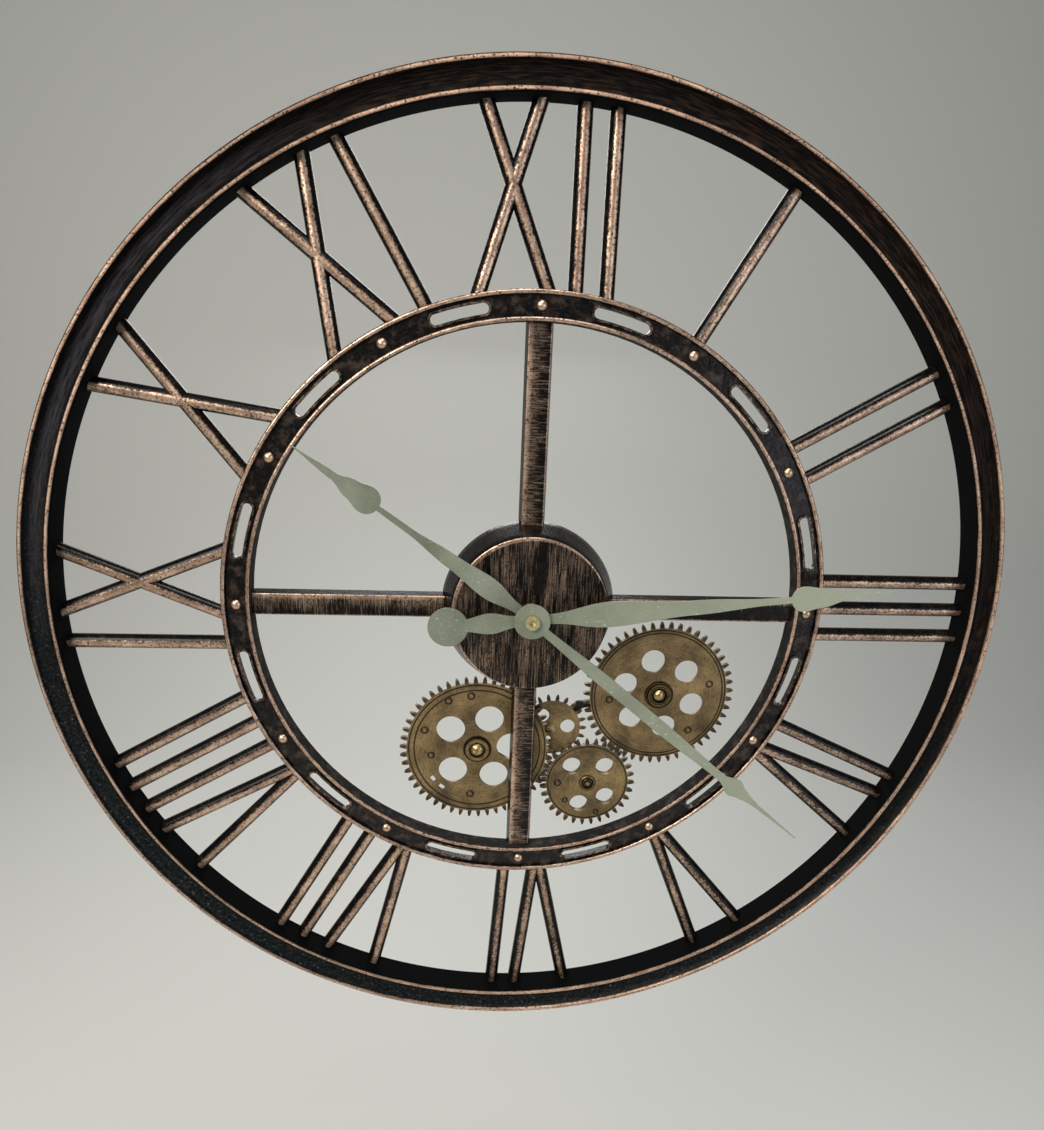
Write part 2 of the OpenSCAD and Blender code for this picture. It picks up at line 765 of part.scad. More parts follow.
// Involute gear outline; angle counts to the middle of the first tooth
function roll(r, base) = r <= base ? 0 : tan(acos(base / r)) * 180 / PI - acos(base / r);
module gear_2d(m, teeth, phase, angle, add, ded, share, steps) {
    pitch = m * teeth / 2;
    base = pitch * cos(angle);
    tip = pitch + add * m;
    root = pitch - ded * m;
    start = max(base, root);
    half = 180 / teeth * share + roll(pitch, base);
    flank = [for (i = [0:steps]) let(r = start + (tip - start) * i / steps) [r, half - roll(r, base)]];
    low = root < base ? [[root, half]] : [];
    side = concat(low, flank);
    n = len(side) - 1;
    polygon([
        for (t = [0:teeth - 1]) let(mid = phase + 360 * t / teeth)
            for (i = [0:2 * n + 1]) let(q = i <= n ? side[i] : side[2 * n + 1 - i])
                polar(q[0], mid + (i <= n ? -q[1] : q[1]))
    ]);
}

// A small wheel of the movement, centred on height h
module fine_gear(m, teeth, phase, t, h) {
    translate([0, 0, h - t / 2]) linear_extrude(t)
        gear_2d(m, teeth, phase, fine_angle, fine_add, fine_ded, fine_share, 1);
}

module arbor(r, from, to) {
    translate([0, 0, from]) cylinder(r = r, h = to - from, $fn = 32);
}

module at(p) {
    translate([p.x, p.y, 0]) children();
}

// Two-pole magnet with the pinion that steps the train
module rotor() {
    color(c_steel) on_wall() at(rotor_at) {
        translate([0, 0, core_h - 1.2]) cylinder(r = magnet_r, h = 2.4);
        fine_gear(step_m, rotor_teeth,
            mesh(step_teeth, 0, rotor_teeth, rotor_dir), leaf_t, step_wheel_h);
        arbor(pivot_r, arbor_back_h, mid_h + mid_t - mid_pivot);
    }
}

module step_wheel() {
    color(c_bright) on_wall() at(step_at) {
        fine_gear(step_m, step_teeth, 0, wheel_t, step_wheel_h);
        fine_gear(second_m, step_pinion,
            mesh(second_teeth, 0, step_pinion, step_dir), leaf_t, second_wheel_h);
        arbor(pivot_r, arbor_back_h, mid_h + mid_t - mid_pivot);
    }
}

module second_wheel() {
    color(c_bright) on_wall() {
        fine_gear(second_m, second_teeth, 0, wheel_t, second_wheel_h);
        fine_gear(third_m, second_pinion, 0, leaf_t, third_wheel_h);
        arbor(second_arbor_r, arbor_back_h, second_h + hand_t);
    }
}

module third_wheel() {
    color(c_bright) on_wall() at(third_at) {
        fine_gear(third_m, third_teeth,
            mesh(second_pinion, 0, third_teeth, third_dir), wheel_t, third_wheel_h);
        fine_gear(centre_m, third_pinion, 0, leaf_t, centre_wheel_h);
        arbor(pivot_r, arbor_back_h, arbor_front_h);
    }
}

// Minute arbor: wheel, cannon pinion and the pipe that carries the minute hand
module centre_wheel() {
    color(c_bright) on_wall() difference() {
        union() {
            fine_gear(centre_m, centre_teeth,
                mesh(third_pinion, 0, centre_teeth, third_dir + 180), wheel_t, centre_wheel_h);
            fine_gear(motion_m, cannon_teeth, 0, leaf_t, motion_wheel_h);
            arbor(minute_pipe_r, centre_wheel_h - wheel_t / 2, minute_h + hand_t);
        }
        translate([0, 0, centre_wheel_h - wheel_t])
            cylinder(r = minute_bore, h = minute_h, $fn = 32);
    }
}

module motion_wheel() {
    color(c_bright) on_wall() at(motion_at) {
        fine_gear(motion_m, motion_teeth,
            mesh(cannon_teeth, 0, motion_teeth, motion_dir), wheel_t, motion_wheel_h);
        fine_gear(hour_m, motion_pinion, 0, leaf_t, hour_wheel_h);
        arbor(pivot_r, mid_h + mid_pivot, arbor_front_h);
    }
}

module hour_wheel() {
    color(c_bright) on_wall() difference() {
        union() {
            fine_gear(hour_m, hour_teeth,
                mesh(motion_pinion, 0, hour_teeth, motion_dir + 180), wheel_t, hour_wheel_h);
            arbor(hour_pipe_r, hour_wheel_h - wheel_t / 2, hour_h + hand_t);
        }
        translate([0, 0, hour_wheel_h - wheel_t])
            cylinder(r = hour_bore, h = hour_h, $fn = 32);
    }
}

// Thumb wheel at the back that sets the hands
module setting_knob() {
    knob_r = 5.5;
    knob_t = 2;
    drive = mesh(cannon_teeth, 0, motion_teeth, motion_dir);
    color(c_black) on_wall() at(knob_at) {
        translate([0, 0, case_back_h - knob_t - 0.5]) difference() {
            cylinder(r = knob_r, h = knob_t);
            for (i = [0:17]) rotate([0, 0, 20 * i])
                translate([knob_r + 0.2, 0, -1]) cylinder(r = 0.6, h = knob_t + 2, $fn = 16);
        }
        arbor(knob_arbor_r, case_back_h - knob_t, motion_wheel_h + leaf_t / 2);
        fine_gear(motion_m, knob_teeth,
            mesh(motion_teeth, drive, knob_teeth, knob_dir), leaf_t, motion_wheel_h);
    }
}

// Half width at s along a hand, eased from station to station
function ease(t) = (1 - cos(180 * t)) / 2;
function half_at(s, st, i = 0) =
    i >= len(st) - 2 || s <= st[i + 1][0]
        ? st[i][1] + (st[i + 1][1] - st[i][1]) * ease((s - st[i][0]) / (st[i + 1][0] - st[i][0]))
        : half_at(s, st, i + 1);
module leaf_2d(st) {
    from = st[0][0];
    to = st[len(st) - 1][0];
    n = round((to - from) / leaf_step);
    run = [for (i = [0:n]) let(s = from + (to - from) * i / n) [half_at(s, st), s]];
    polygon(concat(
        [for (p = run) [p.x, p.y]],
        [for (i = [n:-1:0]) [-run[i].x, run[i].y]]
    ));
}

module hour_hand() {
    color(c_sage) on_wall() translate([0, 0, hour_h]) rotate([0, 0, -hour_deg]) linear_extrude(hand_t)
        difference() {
            union() {
                leaf_2d(hour_leaf);
                leaf_2d(hour_tip);
                translate([0, hour_bulb_at]) circle(hour_bulb_r);
                circle(hand_disc_r);
            }
            circle(hour_pipe_r);
        }
}

module minute_hand() {
    color(c_sage) on_wall() translate([0, 0, minute_h]) rotate([0, 0, -minute_deg])
        linear_extrude(hand_t) difference() {
            union() {
                leaf_2d(minute_leaf);
                leaf_2d(minute_tip);
                translate([0, minute_bulb_at]) circle(minute_bulb_r);
                rotate([0, 0, 180]) leaf_2d(weight_leaf);
                translate([0, -weight_at]) circle(weight_r);
                circle(hand_disc_r);
            }
            circle(minute_pipe_r);
        }
}

module second_hand() {
    color(c_sage) on_wall() translate([0, 0, second_h]) rotate([0, 0, -second_deg])
        linear_extrude(hand_t) difference() {
            union() {
                leaf_2d(second_leaf);
                circle(cap_disc_r);
            }
            circle(collet_r);
        }
}

// Brass tube in the middle of the second hand, pressed on its arbor
module hand_collet() {
    color(c_bright) on_wall() translate([0, 0, second_h]) difference() {
        cylinder(r = collet_r, h = hand_t + collet_rise);
        translate([0, 0, -1]) cylinder(r = second_arbor_r, h = hand_t + 1);
        translate([0, 0, hand_t]) cylinder(r = collet_hole_r, h = collet_rise + 1);
    }
}

// Toothed plate of the open train, with round windows, grooves and rivet heads
module brass_gear(teeth, phase, back, t, holes, hole_at, hole_r, grooves, rivets, bore) {
    difference() {
        union() {
            translate([0, 0, back]) linear_extrude(t)
                gear_2d(gear_m, teeth, phase, gear_angle, gear_add, gear_ded, tooth_share, gear_flank_steps);
            for (q = rivets) at(polar(q[0] * gear_m, q[1]))
                translate([0, 0, back + t]) cylinder(r1 = q[2], r2 = 0.7 * q[2], h = gear_rivet_h, $fn = 32);
        }
        for (a = holes) at(polar(hole_at, a))
            translate([0, 0, back - 1]) cylinder(r = hole_r, h = t + 2);
        for (g = grooves) translate([0, 0, back + t - groove_d])
            tube(g * gear_m + groove_w / 2, g * gear_m - groove_w / 2, groove_d + 1);
        translate([0, 0, back - 1]) cylinder(r = bore, h = t + 2);
    }
}

module gear_right() {
    color(c_brass) on_wall() at(right_at) brass_gear(right_teeth, right_phase, gear_back_h, gear_t,
        right_holes, right_hole_at, right_hole_r, right_grooves, right_rivets, right_boss[0]);
}

module gear_small() {
    color(c_brass) on_wall() at(small_at) brass_gear(small_teeth, small_phase, gear_back_h, gear_t,
        small_holes, small_hole_at, small_hole_r, small_grooves, small_rivets, small_boss[0]);
}

// Pinion behind the small gear, with the same windows, which turns the rear gear
module gear_pinion() {
    color(c_brass) on_wall() at(small_at) brass_gear(pinion_teeth, pinion_phase, rear_back_h, rear_t,
        small_holes, small_hole_at, small_hole_r, [], [], small_boss[0]);
}

// Left gear, with two punched slots near its rim
module gear_left() {
    color(c_brass) on_wall() at(left_at) difference() {
        brass_gear(left_teeth, left_phase, gear_back_h, gear_t,
            left_holes, left_hole_at, left_hole_r, left_grooves, left_rivets, left_boss[0]);
        for (a = left_slots) rotate([0, 0, a]) translate([left_slot_at, 0, gear_back_h + gear_t / 2])
            cube([left_slot.x, left_slot.y, 2 * gear_t], center = true);
    }
}

module gear_rear() {
    color(c_brass) on_wall() at(rear_at) brass_gear(rear_teeth, rear_phase, rear_back_h, rear_t,
        rear_holes, rear_hole_at, rear_hole_r, [], [], post_bore);
}

// Turned hub of a gear: a sleeve through the plate, with a flange and a cupped crest in front
module boss(b) {
    back = strap_front_h + layer_gap;
    rotate_extrude() polygon([
        [post_bore, back],
        [b[0], back],
        [b[0], gear_front_h],
        [b[1], gear_front_h],
        [b[1], gear_front_h + b[2]],
        [b[3] + boss_slope, gear_front_h + b[2]],
        [b[3], gear_front_h + b[4]],
        [b[5], gear_front_h + b[4]],
        [b[5], cup_floor(b)],
        [post_bore, cup_floor(b)]
    ]);
}

module boss_right() {
    color(c_bright) on_wall() at(right_at) boss(right_boss);
}

module boss_small() {
    color(c_bright) on_wall() at(small_at) boss(small_boss);
}

module boss_left() {
    color(c_bright) on_wall() at(left_at) boss(left_boss);
}

// Fixed posts that the four gears turn on
module gear_posts() {
    color(c_steel) on_wall() {
        at(right_at) arbor(post_r, strap_front_h, right_post_h);
        at(small_at) arbor(post_r, strap_front_h, small_post_h);
        at(left_at) arbor(post_r, strap_front_h, left_post_h);
        at(rear_at) arbor(post_r, strap_front_h, rear_post_h);
    }
}

// Slotted domes that keep the gears on their posts
module post_screw(screw) {
    difference() {
        dome(screw[0], screw[1]);
        rotate([0, 0, screw[2]]) translate([-screw[0], -screw_slot / 2, screw[1] - screw_slot])
            cube([2 * screw[0], screw_slot, 2 * screw_slot]);
    }
}

module post_screws() {
    color(c_bright) on_wall() {
        at(right_at) translate([0, 0, right_post_h]) post_screw(right_screw);
        at(small_at) translate([0, 0, small_post_h]) post_screw(small_screw);
        at(left_at) translate([0, 0, left_post_h]) post_screw(left_screw);
        at(rear_at) translate([0, 0, rear_post_h]) cylinder(r = rear_cap_r, h = rear_cap_t);
    }
}

// A flat bar from p to q with a round eye at q, at the straps' height
module strap(p, q) {
    run = q - p;
    at(p) rotate([0, 0, atan2(run.y, run.x)]) translate([0, 0, strap_back_h]) {
        translate([0, -strap_w / 2, 0]) cube([norm(run), strap_w, strap_t]);
        translate([norm(run), 0, 0]) cylinder(r = strap_w / 2 + strap_eye, h = strap_t);
    }
}

// Bar behind the lower spoke with four arms, each to a gear's post and out of sight behind the plates
module gear_bridge() {
    bridge_head = hub_back_r - hub_flange + bridge_head_l / 2;
    knee = rear_at + polar(gear_m * (rear_teeth / 2 + gear_add), bridge_knee_dir);
    color(c_iron) on_wall() {
        strap([0, -bridge_foot], [0, -bridge_head]);
        strap([0, left_at.y - left_arm_slope * abs(left_at.x)], left_at);
        strap([0, small_at.y], small_at);
        strap([0, rear_at.y], rear_at);
        strap(rear_at, knee);
        strap(knee, right_at);
        translate([-strap_w / 2, -bridge_foot, strap_back_h])
            cube([strap_w, bridge_foot_l, frame_back_h - strap_back_h]);
        translate([0, -bridge_head - bridge_head_l / 2, strap_back_h])
            cube([strap_w / 2, bridge_head_l, hub_back_h - strap_back_h]);
    }
}

outer_rim();
inner_ring();
ring_rivets();
numeral_1();
numeral_2();
numeral_3();
numeral_4();
numeral_5();
numeral_6();
numeral_7();
numeral_8();
numeral_9();
numeral_10();
numeral_11();
numeral_12();
spoke_12();
spoke_3();
spoke_6();
spoke_9();
hub_drum();
hanger();
movement_case();
movement_cover();
battery();
contact_plus();
contact_minus();
circuit_board();
quartz_can();
motor_coil();
motor_stator();
train_plate();
bush();
case_pad();
dial_washer();
dial_nut();
rotor();
step_wheel();
second_wheel();
third_wheel();
centre_wheel();
motion_wheel();
hour_wheel();
setting_knob();
hour_hand();
minute_hand();
second_hand();
hand_collet();
gear_bridge();
gear_posts();
post_screws();
gear_right();
gear_small();
gear_pinion();
gear_left();
gear_rear();
boss_right();
boss_small();
boss_left();
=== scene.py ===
import json
import math

import bpy
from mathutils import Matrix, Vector


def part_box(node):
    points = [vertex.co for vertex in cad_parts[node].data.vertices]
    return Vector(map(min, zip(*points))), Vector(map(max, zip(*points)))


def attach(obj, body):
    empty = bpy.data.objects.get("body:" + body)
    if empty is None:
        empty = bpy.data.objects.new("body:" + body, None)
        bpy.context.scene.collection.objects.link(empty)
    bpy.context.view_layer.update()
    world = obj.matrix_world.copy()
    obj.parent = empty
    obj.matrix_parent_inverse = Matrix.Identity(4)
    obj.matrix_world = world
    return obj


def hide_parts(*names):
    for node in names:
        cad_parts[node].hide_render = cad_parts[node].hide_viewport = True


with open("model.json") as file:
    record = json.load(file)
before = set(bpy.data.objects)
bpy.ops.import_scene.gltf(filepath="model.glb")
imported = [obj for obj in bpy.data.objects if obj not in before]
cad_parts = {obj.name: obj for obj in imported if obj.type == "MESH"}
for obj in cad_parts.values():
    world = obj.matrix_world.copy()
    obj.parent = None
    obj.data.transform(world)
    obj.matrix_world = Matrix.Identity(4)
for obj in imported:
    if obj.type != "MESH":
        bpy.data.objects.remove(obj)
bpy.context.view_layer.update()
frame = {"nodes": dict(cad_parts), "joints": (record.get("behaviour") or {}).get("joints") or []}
nodes = frame["nodes"]
joints = {j["name"]: j["pos_m"] for j in frame["joints"]}
scene = bpy.context.scene

# Sizes in millimetres: h counts from the wall to the front, r from the dial's axis. A noise's scale is one
# over the size of its marks.
MM = 0.001


def front(name):
    """The height of a node's front over the wall."""
    return -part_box(name)[0][1] / MM


def reach(name):
    """Half the width of a node."""
    return (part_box(name)[1][0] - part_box(name)[0][0]) / 2 / MM


def axis_of(joint):
    """Where a joint's axis crosses the dial."""
    return (joints[joint][0] / MM, joints[joint][2] / MM)


DIAL = axis_of("second_turn")
RIM_R, RIM_H = reach("outer_rim"), front("outer_rim")
RIM_W, RIM_BEAD, RIM_COVE, RIM_SHEET, RIM_LIP_H = 18.0, 1.7, 3.0, 1.8, 13.0
RIM_IN_R = RIM_R - RIM_W
RING_R, RING_H = reach("inner_ring"), front("inner_ring")
RING_W, RING_BEAD = 17.6, 1.4
RING_IN_R = RING_R - RING_W
RIVET_H = front("ring_rivets")
SPOKE_H, SPOKE_HALF = front("spoke_12"), 6.75
DRUM_H, DRUM_EDGE_R = front("hub_drum"), 48.7
GEAR_MODULE = 2.0
SHARP = math.radians(40)
TO_LEFT, TO_RIGHT, TO_TOP, TO_FRONT = (-1, 0, 0), (1, 0, 0), (0, 0, 1), (0, -1, 0)
ALONG_DIAL = (1, 0, 1)

# Sockets of a Mix node: the share, the colours under and over with their blend, and two plain numbers.
SHARE, UNDER, OVER, BLEND, FIRST, SECOND = 0, 6, 7, 2, 2, 3


def linear(code):
    """The linear colour of an sRGB hex code."""
    parts = [int(code[i:i + 2], 16) / 255 for i in (1, 3, 5)]
    return [c / 12.92 if c <= 0.04045 else ((c + 0.055) / 1.055) ** 2.4 for c in parts] + [1.0]


def put(tree, kind, inputs, out=0, **settings):
    """Adds a node. Inputs are constants or other nodes' outputs, and out is the output handed back."""
    made = tree.nodes.new("ShaderNode" + kind)
    for name, value in settings.items():
        setattr(made, name, value)
    for key, value in inputs.items():
        if isinstance(value, bpy.types.NodeSocket):
            tree.links.new(value, made.inputs[key])
        else:
            made.inputs[key].default_value = value
    return made.outputs[out] if made.outputs else made


def start(name, centre=DIAL):
    """An empty material, its tree, and the place in millimetres from centre."""
    made = bpy.data.materials.new(name)
    made.use_nodes = True
    tree = made.node_tree
    tree.nodes.clear()
    where = put(tree, "TexCoord", {}, "Object")
    place = put(tree, "Mapping", {
        "Vector": where, "Location": (-centre[0], 0, -centre[1]), "Scale": (1 / MM,) * 3})
    return made, tree, place


def measure(tree, place):
    """The part of a place that lies along the dial, its length r, and the height h."""
    flat = put(tree, "VectorMath", {0: place, 1: ALONG_DIAL}, operation="MULTIPLY")
    r = put(tree, "VectorMath", {0: flat}, "Value", operation="LENGTH")
    h = put(tree, "VectorMath", {0: place, 1: TO_FRONT}, "Value", operation="DOT_PRODUCT")
    return flat, r, h


def around(tree, flat, r, h, radius, length, width):
    """A place that runs round the dial, so that marks in it are length long and width wide."""
    turn = put(tree, "VectorMath", {0: flat}, operation="NORMALIZE")
    turn = put(tree, "VectorMath", {0: turn, "Scale": radius / length}, operation="SCALE")
    across = put(tree, "Math", {0: r, 1: h}, operation="ADD")
    across = put(tree, "Math", {0: across, 1: 1 / width}, operation="MULTIPLY")
    across = put(tree, "CombineXYZ", {"Y": across})
    return put(tree, "VectorMath", {0: turn, 1: across}, operation="ADD")


# Stoved near-black lacquer on steel, dry-brushed with copper that holds on crests and edges.
# The eye gets a dark, half-glossy, slightly lumpy ground with brown and blue-black patches, pale pinkish
# metal with a ragged edge on what stands out, and a fine grit of about a millimetre over both.
def dry_brush(tree, place, crest, marks, ragged, shine, lumps=4.0, matt=None, coats_and_sheens=()):
    """Ends a lacquer material: crest is where the brush touches, and marks break its edge.

    ragged is how far they break it, shine is the lacquer's own and lumps the height of its relief. Where
    given, matt is where it is flat, and coats are pairs of where a thin coat or a painted sheen lies over
    it and its colour.
    """
    loose = put(tree, "Math", {0: marks, 1: 0.5}, operation="SUBTRACT")
    edge = put(tree, "Math", {0: loose, 1: ragged, 2: crest}, operation="MULTIPLY_ADD")
    rub = put(tree, "MapRange", {"Value": edge, "From Min": 0.42, "From Max": 0.58},
              interpolation_type="SMOOTHSTEP")
    patch = put(tree, "TexNoise", {"Vector": place, "Scale": 1 / 14.0, "Detail": 3.0})
    dabs = put(tree, "TexNoise", {"Vector": place, "Scale": 1 / 5.0, "Detail": 4.0, "Roughness": 0.65})
    grit = put(tree, "TexNoise", {"Vector": place, "Scale": 1 / 1.3, "Detail": 2.0})
    tone = put(tree, "MapRange", {"Value": patch, "From Min": 0.38, "From Max": 0.62})
    dark = put(tree, "Mix", {
        SHARE: tone, UNDER: linear("#050608"), OVER: linear("#0f0a07")}, BLEND, data_type="RGBA")
    dust = put(tree, "Math", {0: dabs, 1: marks}, operation="MULTIPLY")
    dust = put(tree, "MapRange", {"Value": dust, "From Min": 0.26, "From Max": 0.44, "To Max": 0.5})
    dark = put(tree, "Mix", {SHARE: dust, UNDER: dark, OVER: linear("#46362b")}, BLEND, data_type="RGBA")
    warm = put(tree, "Mix", {
        SHARE: tone, UNDER: linear("#b99a86"), OVER: linear("#dfc0a8")}, BLEND, data_type="RGBA")
    thick = put(tree, "MapRange", {"Value": edge, "From Min": 0.45, "From Max": 1.05})
    metal = put(tree, "Mix", {SHARE: thick, UNDER: linear("#56493c"), OVER: warm}, BLEND, data_type="RGBA")
    pits = put(tree, "MapRange", {"Value": grit, "From Min": 0.56, "From Max": 0.64, "To Max": 0.8})
    metal = put(tree, "Mix", {SHARE: pits, UNDER: metal, OVER: linear("#231a15")}, BLEND, data_type="RGBA")
    gloss = put(tree, "Mix", {SHARE: rub, FIRST: 0.16, SECOND: 0.26}, data_type="FLOAT")
    if matt is not None:
        dark = put(tree, "Mix", {
            SHARE: matt, UNDER: dark, OVER: linear("#060708")}, BLEND, data_type="RGBA")
        gloss = put(tree, "Mix", {SHARE: matt, FIRST: gloss, SECOND: 0.78}, data_type="FLOAT")
    for cover, colour in coats_and_sheens:
        dark = put(tree, "Mix", {SHARE: cover, UNDER: dark, OVER: colour}, BLEND, data_type="RGBA")
    relief = put(tree, "Math", {0: rub, 1: 0.5, 2: grit}, operation="MULTIPLY_ADD")
    relief = put(tree, "Math", {0: dabs, 1: lumps, 2: relief}, operation="MULTIPLY_ADD")
    shader = put(tree, "BsdfPrincipled", {
        "Base Color": put(tree, "Mix", {SHARE: rub, UNDER: dark, OVER: metal}, BLEND, data_type="RGBA"),
        "Roughness": put(tree, "Math", {0: grit, 1: 0.22, 2: gloss}, operation="MULTIPLY_ADD"),
        "Metallic": put(tree, "Math", {0: rub, 1: 0.8}, operation="MULTIPLY"),
        "Specular IOR Level": shine,
        "Normal": put(tree, "Bump", {"Strength": 0.4, "Distance": 0.12 * MM, "Height": relief}),
    })
    put(tree, "OutputMaterial", {"Surface": shader})


# The rim's beads, the outer one most of all, carry more copper towards the lower right, which is partly a
# painted highlight. Its inner wall is flat black. In the cove brown is swept over the top and the right, a
# band at the upper left has a painted grey sheen, and at the lower left a painted slate-grey sheen with
# pale glints lies over it.
def rim_lacquer():
    made, tree, place = start("rim_lacquer_dry_brushed")
    flat, r, h = measure(tree, place)
    lap = around(tree, flat, r, h, RIM_R, length=12.0, width=0.9)
    streaks = put(tree, "TexNoise", {"Vector": lap, "Scale": 1.0, "Detail": 4.0, "Roughness": 0.65})
    slow = put(tree, "TexNoise", {"Vector": place, "Scale": 1 / 50.0, "Detail": 2.0})
    marks = put(tree, "Mix", {SHARE: 0.4, FIRST: streaks, SECOND: slow}, data_type="FLOAT")
    wall = put(tree, "MapRange", {
        "Value": r, "From Min": RIM_IN_R + 0.3, "From Max": RIM_IN_R + 1.2, "To Min": 1.0, "To Max": 0.0})

    # More copper reaches down the beads towards the lower right: rub and painted highlight together.
    low = put(tree, "VectorMath", {0: flat, 1: (0.7, 0, -0.7)}, "Value", operation="DOT_PRODUCT")
    outer = put(tree, "MapRange", {
        "Value": r, "From Min": RIM_R - 10.0, "From Max": RIM_R - 8.0,
        "To Min": RIM_H - 2.0, "To Max": RIM_H - 3.2})
    deep = put(tree, "MapRange", {
        "Value": low, "From Min": 60.0, "From Max": 260.0, "To Min": RIM_H - 0.62, "To Max": outer})
    crest = put(tree, "MapRange", {"Value": h, "From Min": deep, "From Max": RIM_H})

    high = put(tree, "VectorMath", {0: flat, 1: TO_TOP}, "Value", operation="DOT_PRODUCT")
    dull = put(tree, "MapRange", {
        "Value": high, "From Min": 0.0, "From Max": 240.0, "To Min": 0.2, "To Max": 0.9})
    dull = put(tree, "Math", {0: wall, 1: dull}, operation="MAXIMUM")

    swept = put(tree, "VectorMath", {0: flat, 1: (0.35, 0, 0.94)}, "Value", operation="DOT_PRODUCT")
    swept = put(tree, "MapRange", {"Value": swept, "From Min": 60.0, "From Max": 260.0, "To Max": 0.7})
    swept = put(tree, "MapRange", {"Value": wall, "To Min": swept, "To Max": 0.0})
    swept = put(tree, "MapRange", {"Value": streaks, "From Min": 0.44, "From Max": 0.66, "To Max": swept})

    # A slate-grey coat with pale specks at the lower left of the cove: painted sheen with painted glints.
    grit = put(tree, "TexNoise", {"Vector": place, "Scale": 1 / 1.6, "Detail": 3.0})
    tone = put(tree, "MapRange", {"Value": grit, "From Min": 0.36, "From Max": 0.62})
    slate_sheen = put(tree, "Mix", {
        SHARE: tone, UNDER: linear("#0b0e0f"), OVER: linear("#242a2b")}, BLEND, data_type="RGBA")
    specks = put(tree, "MapRange", {"Value": grit, "From Min": 0.64, "From Max": 0.70, "To Max": 0.5})
    slate_sheen = put(tree, "Mix", {
        SHARE: specks, UNDER: slate_sheen, OVER: linear("#7c7f85")}, BLEND, data_type="RGBA")
    lower_left_sheen = put(tree, "VectorMath", {0: flat, 1: (-0.35, 0, -0.94)}, "Value", operation="DOT_PRODUCT")
    lower_left_sheen = put(tree, "MapRange", {"Value": lower_left_sheen, "From Min": -90.0, "From Max": 200.0, "To Max": 0.7})
    lower_left_sheen = put(tree, "MapRange", {"Value": wall, "To Min": lower_left_sheen, "To Max": 0.0})

    # A grey band in the middle of the cove at the upper left: painted sheen.
    upper_left_sheen = put(tree, "VectorMath", {0: flat, 1: (-0.87, 0, 0.5)}, "Value", operation="DOT_PRODUCT")
    upper_left_sheen = put(tree, "MapRange", {"Value": upper_left_sheen, "From Min": 235.0, "From Max": 290.0, "To Max": 0.85})
    upper_left_sheen = put(tree, "MapRange", {
        "Value": r, "From Min": RIM_R - 14.0, "From Max": RIM_R - 9.0, "To Max": upper_left_sheen})
    upper_left_sheen = put(tree, "MapRange", {
        "Value": r, "From Min": RIM_R - 6.2, "From Max": RIM_R - 4.6, "To Min": upper_left_sheen, "To Max": 0.0})
    upper_left_sheen = put(tree, "MapRange", {"Value": streaks, "From Min": 0.34, "From Max": 0.62, "To Max": upper_left_sheen})
    dry_brush(tree, place, crest, marks, ragged=1.4, shine=0.06, matt=dull, coats_and_sheens=(
        (swept, linear("#36281f")), (lower_left_sheen, slate_sheen), (upper_left_sheen, linear("#3b393e"))))
    return made


# The ring is rubbed on its two beads and on the lips of its slots, its web is smeared grey-brown, and its
# inner wall is flat black.
def ring_lacquer():
    made, tree, place = start("ring_lacquer_dry_brushed")
    flat, r, h = measure(tree, place)
    lap = around(tree, flat, r, h, RING_R, length=4.0, width=1.2)
    streaks = put(tree, "TexNoise", {"Vector": lap, "Scale": 1.0, "Detail": 4.0, "Roughness": 0.65})
    crest = put(tree, "MapRange", {"Value": h, "From Min": RING_H - 1.25, "From Max": RING_H - 0.1})
    off = put(tree, "Math", {0: r, 1: RING_R - RING_W / 2}, operation="SUBTRACT")
    off = put(tree, "Math", {0: off}, operation="ABSOLUTE")
    lip = put(tree, "MapRange", {
        "Value": h, "From Min": RING_H - 1.3, "From Max": RING_H - 1.05, "To Max": 0.48})
    lip = put(tree, "MapRange", {
        "Value": off, "From Min": 4.6, "From Max": 5.0, "To Min": lip, "To Max": 0.0})
    crest = put(tree, "Math", {0: crest, 1: lip}, operation="MAXIMUM")
    wall = put(tree, "MapRange", {
        "Value": r, "From Min": RING_IN_R + 0.2, "From Max": RING_IN_R + 0.9, "To Min": 1.0, "To Max": 0.0})
    smear = put(tree, "TexNoise", {"Vector": place, "Scale": 1 / 7.0, "Detail": 4.0, "Roughness": 0.65})
    smear = put(tree, "MapRange", {"Value": smear, "From Min": 0.5, "From Max": 0.66, "To Max": 0.7})
    dry_brush(tree, place, crest, streaks, ragged=1.6, shine=0.3, lumps=6.0, matt=wall, coats_and_sheens=(
        (smear, linear("#453b35")),))
    return made


# Copper sits on the front of each rod and a little below it, so the upper flank of each rod stays dark, and
# less copper is left on the rods towards the lower right of the dial.
def rod_lacquer():
    made, tree, place = start("rod_lacquer_dry_brushed")
    fine = put(tree, "TexNoise", {"Vector": place, "Scale": 1 / 1.5, "Detail": 3.0, "Roughness": 0.7})
    slow = put(tree, "TexNoise", {"Vector": place, "Scale": 1 / 22.0, "Detail": 2.0})
    marks = put(tree, "Mix", {SHARE: 0.35, FIRST: fine, SECOND: slow}, data_type="FLOAT")
    facing = put(tree, "TexCoord", {}, "Normal")
    facing = put(tree, "VectorMath", {0: facing, 1: (0.04, -0.95, -0.3)}, "Value", operation="DOT_PRODUCT")
    crest = put(tree, "MapRange", {"Value": facing, "From Min": 0.70, "From Max": 0.94})
    dry = put(tree, "VectorMath", {0: place, 1: (0.64, 0, -0.77)}, "Value", operation="DOT_PRODUCT")
    dry = put(tree, "MapRange", {"Value": dry, "From Min": 90.0, "From Max": 220.0, "To Max": 0.3})
    crest = put(tree, "Math", {0: crest, 1: dry}, operation="SUBTRACT")
    dry_brush(tree, place, crest, marks, ragged=2.4, shine=0.2)
    return made
